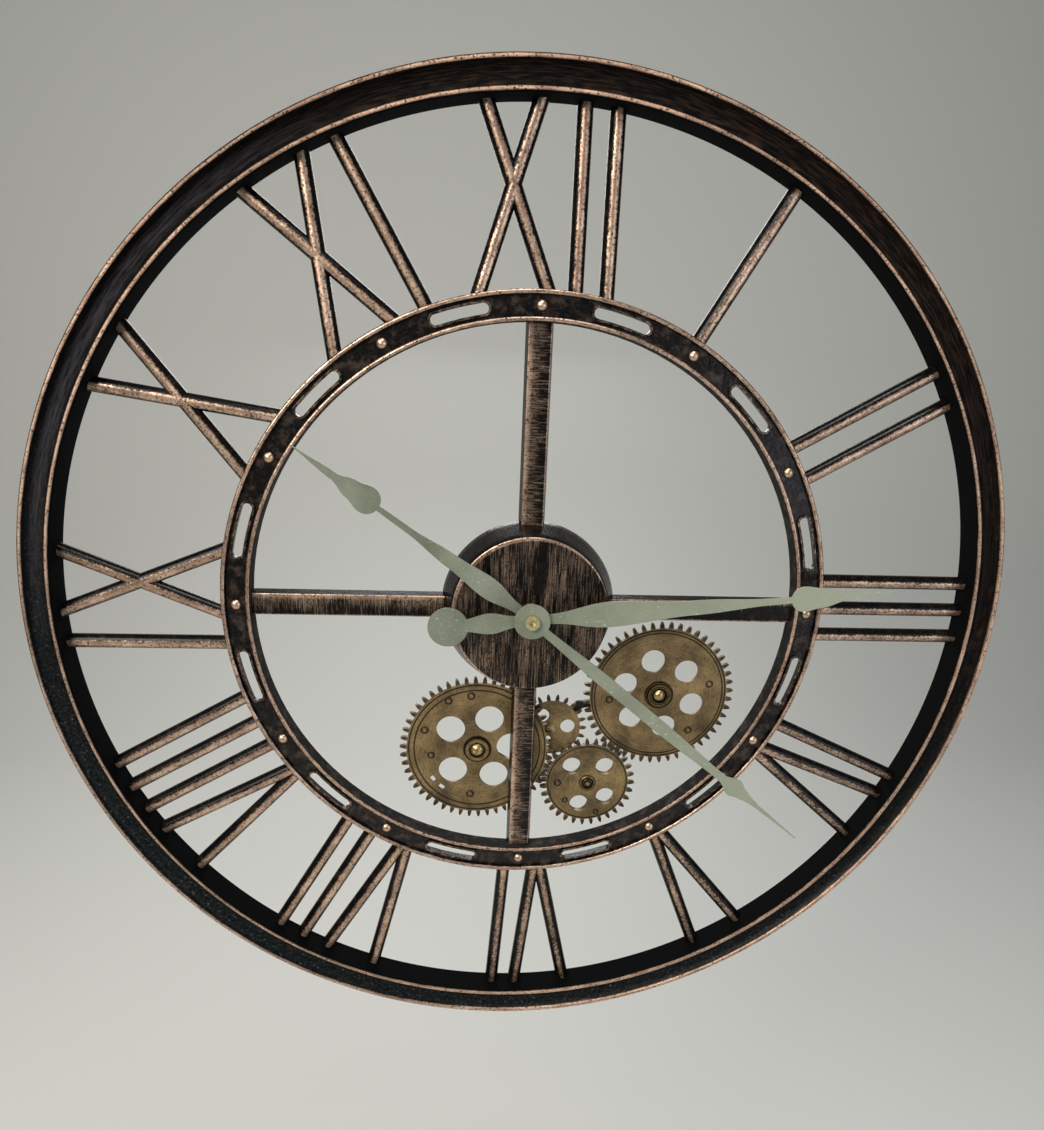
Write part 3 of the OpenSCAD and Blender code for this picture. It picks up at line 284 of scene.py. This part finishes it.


# On a spoke's face the strokes run across, each about a millimetre wide, and both edges are rubbed; the
# edge towards the light gets the most copper, which is a painted highlight. The sides stay dark.
def spoke_lacquer(name, along, lit, cover):
    """along is the spoke's direction, lit points to the edge that gets the painted highlight, and cover is
    its load.
    """
    made, tree, place = start(name)
    h = put(tree, "VectorMath", {0: place, 1: TO_FRONT}, "Value", operation="DOT_PRODUCT")
    stroke = tuple(abs(a) / 0.9 + abs(b) / 12.0 for a, b in zip(along, lit))
    cells = put(tree, "VectorMath", {0: place, 1: stroke}, operation="MULTIPLY")
    streaks = put(tree, "TexNoise", {"Vector": cells, "Scale": 1.0, "Detail": 4.0, "Roughness": 0.7})
    slow = put(tree, "TexNoise", {"Vector": place, "Scale": 1 / 16.0, "Detail": 2.0})
    marks = put(tree, "Mix", {SHARE: 0.3, FIRST: streaks, SECOND: slow}, data_type="FLOAT")
    off = put(tree, "VectorMath", {0: place, 1: lit}, "Value", operation="DOT_PRODUCT")
    # Copper rises towards the lit edge and a wide band runs along it: painted highlight over the rub.
    near = put(tree, "MapRange", {
        "Value": off, "From Min": -0.8 * SPOKE_HALF, "From Max": SPOKE_HALF - 0.8,
        "To Min": cover - 0.10, "To Max": cover + 0.14})
    rubbed = put(tree, "MapRange", {
        "Value": off, "From Min": SPOKE_HALF - 3.4, "From Max": SPOKE_HALF - 0.8, "To Max": 0.45})
    near = put(tree, "Math", {0: near, 1: rubbed}, operation="ADD")
    far = put(tree, "MapRange", {
        "Value": off, "From Min": 0.4 - SPOKE_HALF, "From Max": 1.4 - SPOKE_HALF,
        "To Min": 0.8, "To Max": 0.0})
    edge = put(tree, "Math", {0: near, 1: far}, operation="MAXIMUM")
    face = put(tree, "MapRange", {"Value": h, "From Min": SPOKE_H - 0.7, "From Max": SPOKE_H - 0.2})
    crest = put(tree, "Math", {0: edge, 1: face}, operation="MULTIPLY")
    dry_brush(tree, place, crest, marks, ragged=2.0, shine=0.25)
    return made


# On the drum's face the strokes run down and miss a patch at the top, and the edge gets the most copper at
# the upper left, a painted highlight.
def drum_lacquer():
    made, tree, place = start("drum_lacquer_dry_brushed")
    flat, r, h = measure(tree, place)
    cells = put(tree, "VectorMath", {0: place, 1: (1 / 0.7, 0, 1 / 18.0)}, operation="MULTIPLY")
    thin = put(tree, "TexNoise", {"Vector": cells, "Scale": 1.0, "Detail": 4.0, "Roughness": 0.75})
    cells = put(tree, "VectorMath", {0: place, 1: (1 / 6.0, 0, 1 / 40.0)}, operation="MULTIPLY")
    wide = put(tree, "TexNoise", {"Vector": cells, "Scale": 1.0, "Detail": 2.0})
    streaks = put(tree, "Mix", {SHARE: 0.3, FIRST: thin, SECOND: wide}, data_type="FLOAT")
    face = put(tree, "MapRange", {"Value": h, "From Min": DRUM_H - 0.8, "From Max": DRUM_H - 0.2})
    # The edge's copper reaches further in towards the upper left: painted highlight.
    lean = put(tree, "VectorMath", {0: flat, 1: (-0.022, 0, 0.022)}, "Value", operation="DOT_PRODUCT")
    out = put(tree, "Math", {0: r, 1: lean}, operation="ADD")
    edge = put(tree, "MapRange", {
        "Value": out, "From Min": DRUM_EDGE_R - 1.6, "From Max": DRUM_EDGE_R - 0.2,
        "To Min": 0.47, "To Max": 1.2}, interpolation_type="SMOOTHSTEP")
    missed = put(tree, "VectorMath", {0: flat, 1: (5.0, 0, 26.0)}, operation="SUBTRACT")
    missed = put(tree, "VectorMath", {0: missed, 1: (1 / 5.0, 0, 1 / 22.0)}, operation="MULTIPLY")
    missed = put(tree, "VectorMath", {0: missed}, "Value", operation="LENGTH")
    missed = put(tree, "MapRange", {
        "Value": missed, "From Min": 0.5, "From Max": 1.2, "To Min": 0.55, "To Max": 1.0})
    edge = put(tree, "Math", {0: edge, 1: missed}, operation="MULTIPLY")
    crest = put(tree, "Math", {0: edge, 1: face}, operation="MULTIPLY")
    dry_brush(tree, place, crest, streaks, ragged=2.2, shine=0.25)
    return made


# The same lacquer where no brush came, on the bridge and its arms: black, with an even fine grit.
def plain_lacquer():
    made, tree, place = start("strap_lacquer_plain")
    grit = put(tree, "TexNoise", {"Vector": place, "Scale": 1 / 1.2, "Detail": 3.0})
    shader = put(tree, "BsdfPrincipled", {
        "Base Color": put(tree, "Mix", {
            SHARE: grit, UNDER: linear("#0d0b0a"), OVER: linear("#1d1814")}, BLEND, data_type="RGBA"),
        "Roughness": put(tree, "MapRange", {"Value": grit, "To Min": 0.35, "To Max": 0.6}),
        "Normal": put(tree, "Bump", {"Strength": 0.3, "Distance": 0.1 * MM, "Height": grit}),
    })
    put(tree, "OutputMaterial", {"Surface": shader})
    return made


# Copper heads, domed and rubbed bright, with lacquer left low on the dome.
def rivet_copper():
    made, tree, place = start("rivet_copper_rubbed")
    h = put(tree, "VectorMath", {0: place, 1: TO_FRONT}, "Value", operation="DOT_PRODUCT")
    specks = put(tree, "TexNoise", {"Vector": place, "Scale": 1 / 1.2, "Detail": 3.0})
    dome = put(tree, "MapRange", {"Value": h, "From Min": RIVET_H - 2.0, "From Max": RIVET_H - 1.0})
    bright = put(tree, "Mix", {
        SHARE: specks, UNDER: linear("#c39d84"), OVER: linear("#dcc0a6")}, BLEND, data_type="RGBA")
    shader = put(tree, "BsdfPrincipled", {
        "Base Color": put(tree, "Mix", {
            SHARE: dome, UNDER: linear("#2c2019"), OVER: bright}, BLEND, data_type="RGBA"),
        "Metallic": 0.9,
        "Roughness": put(tree, "MapRange", {"Value": specks, "To Min": 0.24, "To Max": 0.44}),
        "Normal": put(tree, "Bump", {"Strength": 0.2, "Distance": 0.1 * MM, "Height": specks}),
    })
    put(tree, "OutputMaterial", {"Surface": shader})
    return made


# Stamped brass plate left to tarnish: dull golden brown, cloudy over centimetres, faintly brushed round
# its axis, specked at about a millimetre, and darkened by grime and painted shade in the grooves and on the
# teeth, most at their roots, with a painted shade ring round each rivet head.
def tarnished_brass(name, centre, teeth, grooves, rivets):
    """Grooves are radii, and rivets are (x, z, radius) from the gear's axis."""
    made, tree, place = start(name, centre)
    flat, r, h = measure(tree, place)
    cloud = put(tree, "TexNoise", {"Vector": place, "Scale": 1 / 18.0, "Detail": 4.0})
    specks = put(tree, "TexNoise", {"Vector": place, "Scale": 1 / 1.1, "Detail": 3.0})
    root = GEAR_MODULE * (teeth / 2 - 1.25)
    lap = around(tree, flat, r, h, root, length=12.0, width=0.7)
    lines = put(tree, "TexNoise", {"Vector": lap, "Scale": 1.0, "Detail": 2.0})
    tone = put(tree, "Math", {0: lines, 1: 0.35, 2: cloud}, operation="MULTIPLY_ADD")
    tone = put(tree, "MapRange", {"Value": tone, "From Min": 0.48, "From Max": 0.86})
    plate = put(tree, "Mix", {
        SHARE: tone, UNDER: linear("#584831"), OVER: linear("#9b845b")}, BLEND, data_type="RGBA")
    stain = put(tree, "MapRange", {"Value": specks, "From Min": 0.52, "From Max": 0.72, "To Max": 0.7})
    plate = put(tree, "Mix", {SHARE: stain, UNDER: plate, OVER: linear("#382b17")}, BLEND, data_type="RGBA")
    # Dark at the tooth roots, on the teeth, in the grooves and round the rivet heads: grime and painted
    # shade.
    grime_and_shade = put(tree, "MapRange", {
        "Value": r, "From Min": root - 0.6, "From Max": root + 1.6, "To Max": 0.75})
    tips = put(tree, "MapRange", {
        "Value": r, "From Min": root + 3.0, "From Max": root + 4.2, "To Min": 0.75, "To Max": 0.3})
    grime_and_shade = put(tree, "Math", {0: grime_and_shade, 1: tips}, operation="MINIMUM")
    for radius in grooves:
        off = put(tree, "Math", {0: r, 1: radius}, operation="SUBTRACT")
        off = put(tree, "Math", {0: off}, operation="ABSOLUTE")
        line = put(tree, "MapRange", {
            "Value": off, "From Min": 0.3, "From Max": 0.7, "To Min": 0.9, "To Max": 0.0})
        grime_and_shade = put(tree, "Math", {0: grime_and_shade, 1: line}, operation="MAXIMUM")
    for x, z, size in rivets:
        off = put(tree, "VectorMath", {0: flat, 1: (x, 0, z)}, "Value", operation="DISTANCE")
        off = put(tree, "Math", {0: off, 1: size + 0.1}, operation="SUBTRACT")
        off = put(tree, "Math", {0: off}, operation="ABSOLUTE")
        ring = put(tree, "MapRange", {
            "Value": off, "From Min": 0.4, "From Max": 1.0, "To Min": 0.9, "To Max": 0.0})
        grime_and_shade = put(tree, "Math", {0: grime_and_shade, 1: ring}, operation="MAXIMUM")
    shader = put(tree, "BsdfPrincipled", {
        "Base Color": put(tree, "Mix", {
            SHARE: grime_and_shade, UNDER: plate, OVER: linear("#1c150b")}, BLEND, data_type="RGBA"),
        "Metallic": 0.5,
        "Roughness": put(tree, "MapRange", {"Value": cloud, "To Min": 0.36, "To Max": 0.56}),
        "Normal": put(tree, "Bump", {"Strength": 0.3, "Distance": 0.12 * MM, "Height": specks}),
    })
    put(tree, "OutputMaterial", {"Surface": shader})
    return made


# Brass turned on a lathe: fine rings about half a millimetre apart, stained in specks, and a dark ring of
# painted shade at each gap between its steps.
def turned_brass(name, centre, light, dark, rough, shade_rings=()):
    """The rings given are (radius, half width), dark with painted shade where the turned steps meet."""
    made, tree, place = start(name, centre)
    flat = put(tree, "VectorMath", {0: place, 1: ALONG_DIAL}, operation="MULTIPLY")
    r = put(tree, "VectorMath", {0: flat}, "Value", operation="LENGTH")
    rings = put(tree, "Math", {0: r, 1: 2 * math.pi / 0.55}, operation="MULTIPLY")
    rings = put(tree, "Math", {0: rings}, operation="SINE")
    specks = put(tree, "TexNoise", {"Vector": place, "Scale": 1 / 1.4, "Detail": 3.0})
    stain = put(tree, "MapRange", {"Value": specks, "From Min": 0.40, "From Max": 0.75})
    skin = put(tree, "Mix", {
        SHARE: stain, UNDER: linear(light), OVER: linear(dark)}, BLEND, data_type="RGBA")
    # Each ring is darkened: painted shade where the turned steps meet.
    for radius, half in shade_rings:
        off = put(tree, "Math", {0: r, 1: radius}, operation="SUBTRACT")
        off = put(tree, "Math", {0: off}, operation="ABSOLUTE")
        ring_shade = put(tree, "MapRange", {
            "Value": off, "From Min": half, "From Max": half + 0.5, "To Min": 0.95, "To Max": 0.0})
        skin = put(tree, "Mix", {SHARE: ring_shade, UNDER: skin, OVER: linear("#120d07")}, BLEND, data_type="RGBA")
    shader = put(tree, "BsdfPrincipled", {
        "Base Color": skin,
        "Metallic": 0.8,
        "Roughness": put(tree, "MapRange", {"Value": specks, "To Min": rough[0], "To Max": rough[1]}),
        "Normal": put(tree, "Bump", {"Strength": 0.25, "Distance": 0.05 * MM, "Height": rings}),
    })
    put(tree, "OutputMaterial", {"Surface": shader})
    return made


# Chalky paint on sheet aluminium: sage green, nearly matt, cloudy over a few centimetres, lighter towards
# the right as a painted highlight, with pale scuffs of one to three millimetres that lie along the sheet.
def sage_paint():
    made, tree, place = start("sage_paint_matt")
    cloud = put(tree, "TexNoise", {"Vector": place, "Scale": 1 / 24.0, "Detail": 4.0})
    grain = put(tree, "TexNoise", {"Vector": place, "Scale": 1 / 1.2, "Detail": 3.0})
    cells = put(tree, "VectorMath", {0: place, 1: (1 / 3.2, 1, 1 / 1.3)}, operation="MULTIPLY")
    scuff = put(tree, "TexNoise", {"Vector": cells, "Scale": 1.0, "Detail": 4.0, "Roughness": 0.6})
    tone = put(tree, "Math", {0: grain, 1: 0.5, 2: cloud}, operation="MULTIPLY_ADD")
    tone = put(tree, "MapRange", {"Value": tone, "From Min": 0.50, "From Max": 1.0})
    paint = put(tree, "Mix", {
        SHARE: tone, UNDER: linear("#5e6556"), OVER: linear("#7f8575")}, BLEND, data_type="RGBA")
    # Paler towards the right: painted highlight.
    right_highlight = put(tree, "VectorMath", {0: place, 1: TO_RIGHT}, "Value", operation="DOT_PRODUCT")
    right_highlight = put(tree, "MapRange", {"Value": right_highlight, "From Min": -40.0, "From Max": 180.0, "To Max": 0.75})
    paint = put(tree, "Mix", {SHARE: right_highlight, UNDER: paint, OVER: linear("#9ca38f")}, BLEND, data_type="RGBA")
    worn = put(tree, "MapRange", {"Value": scuff, "From Min": 0.64, "From Max": 0.72, "To Max": 0.8})
    shader = put(tree, "BsdfPrincipled", {
        "Base Color": put(tree, "Mix", {
            SHARE: worn, UNDER: paint, OVER: linear("#bfc4ae")}, BLEND, data_type="RGBA"),
        "Roughness": put(tree, "MapRange", {"Value": cloud, "To Min": 0.38, "To Max": 0.6}),
        "Normal": put(tree, "Bump", {"Strength": 0.2, "Distance": 0.1 * MM, "Height": grain}),
    })
    put(tree, "OutputMaterial", {"Surface": shader})
    return made


def plain_finish(name, first, second, rough, size, metallic=0.0):
    """A moulded, printed, plated or wound surface with a grain of the given size."""
    made, tree, place = start(name)
    specks = put(tree, "TexNoise", {"Vector": place, "Scale": 1 / size, "Detail": 3.0})
    shader = put(tree, "BsdfPrincipled", {
        "Base Color": put(tree, "Mix", {
            SHARE: specks, UNDER: linear(first), OVER: linear(second)}, BLEND, data_type="RGBA"),
        "Metallic": metallic,
        "Roughness": put(tree, "MapRange", {"Value": specks, "To Min": rough[0], "To Max": rough[1]}),
        "Normal": put(tree, "Bump", {"Strength": 0.25, "Distance": 0.08 * MM, "Height": specks}),
    })
    put(tree, "OutputMaterial", {"Surface": shader})
    return made


def dress(made, *names):
    """Gives nodes a material."""
    for name in names:
        nodes[name].data.materials.clear()
        nodes[name].data.materials.append(made)


def ease_edges(width, *names):
    """Breaks the sharp edges of nodes, as a file or a thick coat does."""
    for name in names:
        weld = nodes[name].modifiers.new("weld", "WELD")
        weld.merge_threshold = 0.001 * MM
        edge = nodes[name].modifiers.new("edges", "BEVEL")
        edge.width = width * MM
        edge.segments = 2
        edge.limit_method = "ANGLE"
        edge.angle_limit = SHARP
        edge.harden_normals = True


def arc(r, h, radius, first, last, steps):
    """Points of an arc about (r, h), by degrees from the outward direction."""
    turns = [math.radians(first + (last - first) * i / steps) for i in range(steps + 1)]
    return [(r + radius * math.cos(t), h + radius * math.sin(t)) for t in turns]


def turn(name, outline, steps=480):
    """A closed outline of (r, h) points turned round the dial's axis."""
    count = len(outline)
    points = [(DIAL[0] * MM + r * MM * math.cos(2 * math.pi * k / steps), -h * MM,
               DIAL[1] * MM + r * MM * math.sin(2 * math.pi * k / steps))
              for k in range(steps) for r, h in outline]
    faces = [(k * count + i, k * count + (i + 1) % count, (k + 1) % steps * count + (i + 1) % count,
              (k + 1) % steps * count + i) for k in range(steps) for i in range(count)]
    mesh = bpy.data.meshes.new(name)
    mesh.from_pydata(points, [], faces)
    mesh.shade_smooth()
    mesh.set_sharp_from_angle(angle=SHARP)
    made = bpy.data.objects.new(name, mesh)
    scene.collection.objects.link(made)
    return made


# The rim, turned finer than the frame's own mesh: skirt, bead, cove, bead and inner wall.
web_h = RIM_H - RIM_BEAD
under_h = web_h - RIM_COVE - RIM_SHEET
cove_half = RIM_W / 2 - 2 * RIM_BEAD
cove_r = (cove_half ** 2 + RIM_COVE ** 2) / (2 * RIM_COVE)
cove_turn = math.degrees(math.asin(cove_half / cove_r))
rim = turn("rim_shell", [(RIM_R, 0.0)]
           + arc(RIM_R - RIM_BEAD, web_h, RIM_BEAD, 0, 180, 16)
           + arc(RIM_R - RIM_W / 2, web_h - RIM_COVE + cove_r, cove_r, -90 + cove_turn, -90 - cove_turn, 20)
           + arc(RIM_IN_R + RIM_BEAD, web_h, RIM_BEAD, 0, 180, 16)
           + [(RIM_IN_R, RIM_LIP_H), (RIM_IN_R + RIM_SHEET, RIM_LIP_H), (RIM_IN_R + RIM_SHEET, under_h),
              (RIM_R - RIM_SHEET, under_h), (RIM_R - RIM_SHEET, 0.0)])
rim.data.materials.append(rim_lacquer())
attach(rim, "frame")
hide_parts("outer_rim")

# The ring's two beads, turned finer in the same way, stand a hair proud of its own.
PROUD, BEAD_SIDES = 0.06, 24
ring_finish = ring_lacquer()
for name, radius in (("ring_bead_outer", RING_R - RING_BEAD), ("ring_bead_inner", RING_IN_R + RING_BEAD)):
    bead = turn(name, arc(radius, RING_H - RING_BEAD, RING_BEAD + PROUD,
                          0, 360 - 360 / BEAD_SIDES, BEAD_SIDES - 1))
    bead.data.materials.append(ring_finish)
    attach(bead, "frame")

dress(ring_finish, "inner_ring")
dress(rod_lacquer(), *["numeral_%d" % i for i in range(1, 13)])
dress(spoke_lacquer("spoke_lacquer_upright", TO_TOP, TO_LEFT, cover=0.48), "spoke_12", "spoke_6")
dress(spoke_lacquer("spoke_lacquer_level", TO_RIGHT, TO_TOP, cover=0.48), "spoke_9")
# The spoke at three, which the minute hand lies over, gets less copper: painted shade.
dress(spoke_lacquer("spoke_lacquer_shaded", TO_RIGHT, TO_TOP, cover=0.24), "spoke_3")
dress(drum_lacquer(), "hub_drum")
dress(plain_lacquer(), "gear_bridge")
dress(rivet_copper(), "ring_rivets")


def heads(*rivets):
    """Rivet heads given by (distance in modules, degrees, radius), as (x, z, radius)."""
    return [(distance * GEAR_MODULE * math.cos(math.radians(angle)),
             distance * GEAR_MODULE * math.sin(math.radians(angle)), radius)
            for distance, angle, radius in rivets]


left, right = axis_of("left_gear_turn"), axis_of("right_gear_turn")
small, rear = axis_of("small_gear_turn"), axis_of("rear_gear_turn")
left_heads = heads((19.35, 97, 2), (20, 119.5, 2), (18.95, 159, 2), (15.7, 189, 1.8), (17.2, 263, 2))
right_heads = heads((16.8, 187, 1.9), (17.45, 13, 1.9), (17.35, -49, 1.9))
small_heads = heads((10.35, 180, 1.9), (10, 222, 1.4), (12, -72, 1.4))
dress(tarnished_brass("gear_left_brass", left, 50, (42.4, 46.0), left_heads), "gear_left")
dress(tarnished_brass("gear_right_brass", right, 49, (43.5, 45.4), right_heads), "gear_right")
dress(tarnished_brass("gear_small_brass", small, 31, (27.4,), small_heads), "gear_small", "gear_pinion")
dress(tarnished_brass("gear_rear_brass", rear, 22, (), ()), "gear_rear")
for name, centre, shade_rings in (("boss_left", left, ((9.4, 0.5), (8.4, 0.1), (4.9, 0.4))),
                           ("boss_right", right, ((9.6, 0.7), (8.0, 0.2), (6.4, 0.2), (4.6, 0.7))),
                           ("boss_small", small, ((5.8, 0.3), (3.7, 0.5)))):
    dress(turned_brass(name + "_brass", centre, "#9c8257", "#4e3e25", (0.3, 0.48), shade_rings), name)
# A painted shade ring round the middle of the screw heads leaves a bright dot there.
dress(turned_brass("screw_brass", small, "#c9b285", "#6a5530", (0.22, 0.38), ((2.3, 0.7),)), "post_screws")
dress(turned_brass("collet_brass", DIAL, "#e9dfb4", "#b3a468", (0.24, 0.38)),
      "hand_collet", "dial_nut", "dial_washer", "bush", "second_wheel", "centre_wheel", "hour_wheel",
      "third_wheel", "motion_wheel", "step_wheel")
dress(sage_paint(), "hour_hand", "minute_hand", "second_hand")

# Moulded ABS: black, with a fine matt grain under a millimetre.
dress(plain_finish("case_abs_black", "#141416", "#222226", (0.42, 0.6), 0.7),
      "movement_case", "movement_cover", "train_plate", "setting_knob")
# Zinc plate on steel: light grey and half bright, with a spangle of about three millimetres.
dress(plain_finish("zinc_plated_steel", "#9a9c9c", "#b9bab6", (0.28, 0.45), 3.0, 1.0),
      "hanger", "contact_plus", "contact_minus", "quartz_can", "motor_stator", "rotor", "gear_posts")
# Shrunk film sleeve: plain dark green, smooth, a little uneven over millimetres.
dress(plain_finish("cell_sleeve_green", "#2f4a38", "#3a5a45", (0.3, 0.4), 4.0), "battery")
# Solder mask on a board: mottled green and half glossy.
dress(plain_finish("board_solder_mask", "#1f4a2e", "#2b6440", (0.3, 0.45), 1.5), "circuit_board")
# Enamelled copper wire, wound: reddish brown with a glint in every turn.
dress(plain_finish("coil_enamelled_wire", "#8a4a22", "#b8743c", (0.25, 0.4), 0.4, 0.8), "motor_coil")
# Moulded rubber: black and dull.
dress(plain_finish("pad_rubber_black", "#101010", "#1c1c1c", (0.6, 0.8), 0.8), "case_pad")

ease_edges(0.25, "gear_left", "gear_right", "gear_small", "gear_rear")
ease_edges(0.35, "hour_hand", "minute_hand", "second_hand")
ease_edges(0.8, "hub_drum")
ease_edges(0.5, "spoke_12", "spoke_3", "spoke_6", "spoke_9")

# The camera stands where the photograph was taken from: a wide lens close in front, above the middle.
CAMERA_AT, CAMERA_TURN = (-0.04493, -0.50035, 0.10977), (73.547, -2.178, -3.944)
CAMERA_SHIFT = (0.0025, 0.0316)
FOCAL_PX, PHOTO_TALL_PX, SENSOR_MM = 800.0, 1130.0, 36.0
camera = bpy.data.objects.new("camera", bpy.data.cameras.new("camera"))
camera.location = CAMERA_AT
camera.rotation_euler = [math.radians(a) for a in CAMERA_TURN]
camera.data.lens = FOCAL_PX / PHOTO_TALL_PX * SENSOR_MM
camera.data.shift_x, camera.data.shift_y = CAMERA_SHIFT
camera.data.clip_start = 0.01
scene.collection.objects.link(camera)
scene.camera = camera


def lamp(name, at, size, power, tint):
    """A soft square lamp that faces the dial, with its size in metres and its power in watts."""
    made = bpy.data.objects.new(name, bpy.data.lights.new(name, "AREA"))
    made.data.size = size
    made.data.energy = power
    made.data.color = linear(tint)[:3]
    made.location = at
    aim = Vector((DIAL[0] * MM, 0.0, DIAL[1] * MM)) - Vector(at)
    made.rotation_euler = aim.to_track_quat("-Z", "Y").to_euler()
    scene.collection.objects.link(made)
    return made


lamp("key_lamp", (-1.2, -1.5, 1.1), 1.2, 50.0, "#fff8ee")
lamp("fill_lamp", (1.5, -1.6, 0.1), 1.4, 12.0, "#eef3ff")
lamp("top_lamp", (0.1, -0.6, 1.7), 0.5, 12.0, "#ffffff")
# It lights the back. The camera doesn't see it, because it would show through the open dial.
back_lamp = lamp("back_lamp", (0.0, 2.3, 0.9), 1.2, 22.0, "#ffffff")
back_lamp.visible_camera = False

# Pale floor that bends up into a backdrop, well behind the dial, in metres.
FLOOR_Z, BACK_Y, BEND, BEND_STEPS, WIDE, DEEP, TALL = -1.1, 2.6, 0.8, 15, 9.0, -9.0, 7.0
line = [(DEEP, FLOOR_Z), (BACK_Y - BEND, FLOOR_Z)]
line += [(BACK_Y - BEND + BEND * math.sin(a), FLOOR_Z + BEND - BEND * math.cos(a))
         for a in [math.radians(90 * i / BEND_STEPS) for i in range(1, BEND_STEPS + 1)]]
line += [(BACK_Y, TALL)]
sweep = bpy.data.meshes.new("studio_sweep")
sweep.from_pydata([(x, y, z) for y, z in line for x in (-WIDE, WIDE)], [],
                  [(2 * i, 2 * i + 1, 2 * i + 3, 2 * i + 2) for i in range(len(line) - 1)])
sweep.shade_smooth()
paper = bpy.data.materials.new("studio_paper")
paper.use_nodes = True
paper_shader = paper.node_tree.nodes["Principled BSDF"]
paper_shader.inputs["Base Color"].default_value = linear("#e2e3df")
paper_shader.inputs["Roughness"].default_value = 0.9
sweep.materials.append(paper)
stage = bpy.data.objects.new("studio_sweep", sweep)
scene.collection.objects.link(stage)

world = bpy.data.worlds.new("studio_air")
world.use_nodes = True
air = world.node_tree.nodes["Background"]
air.inputs["Color"].default_value = linear("#c9ccce")
air.inputs["Strength"].default_value = 0.18
scene.world = world
scene.view_settings.view_transform = "Standard"
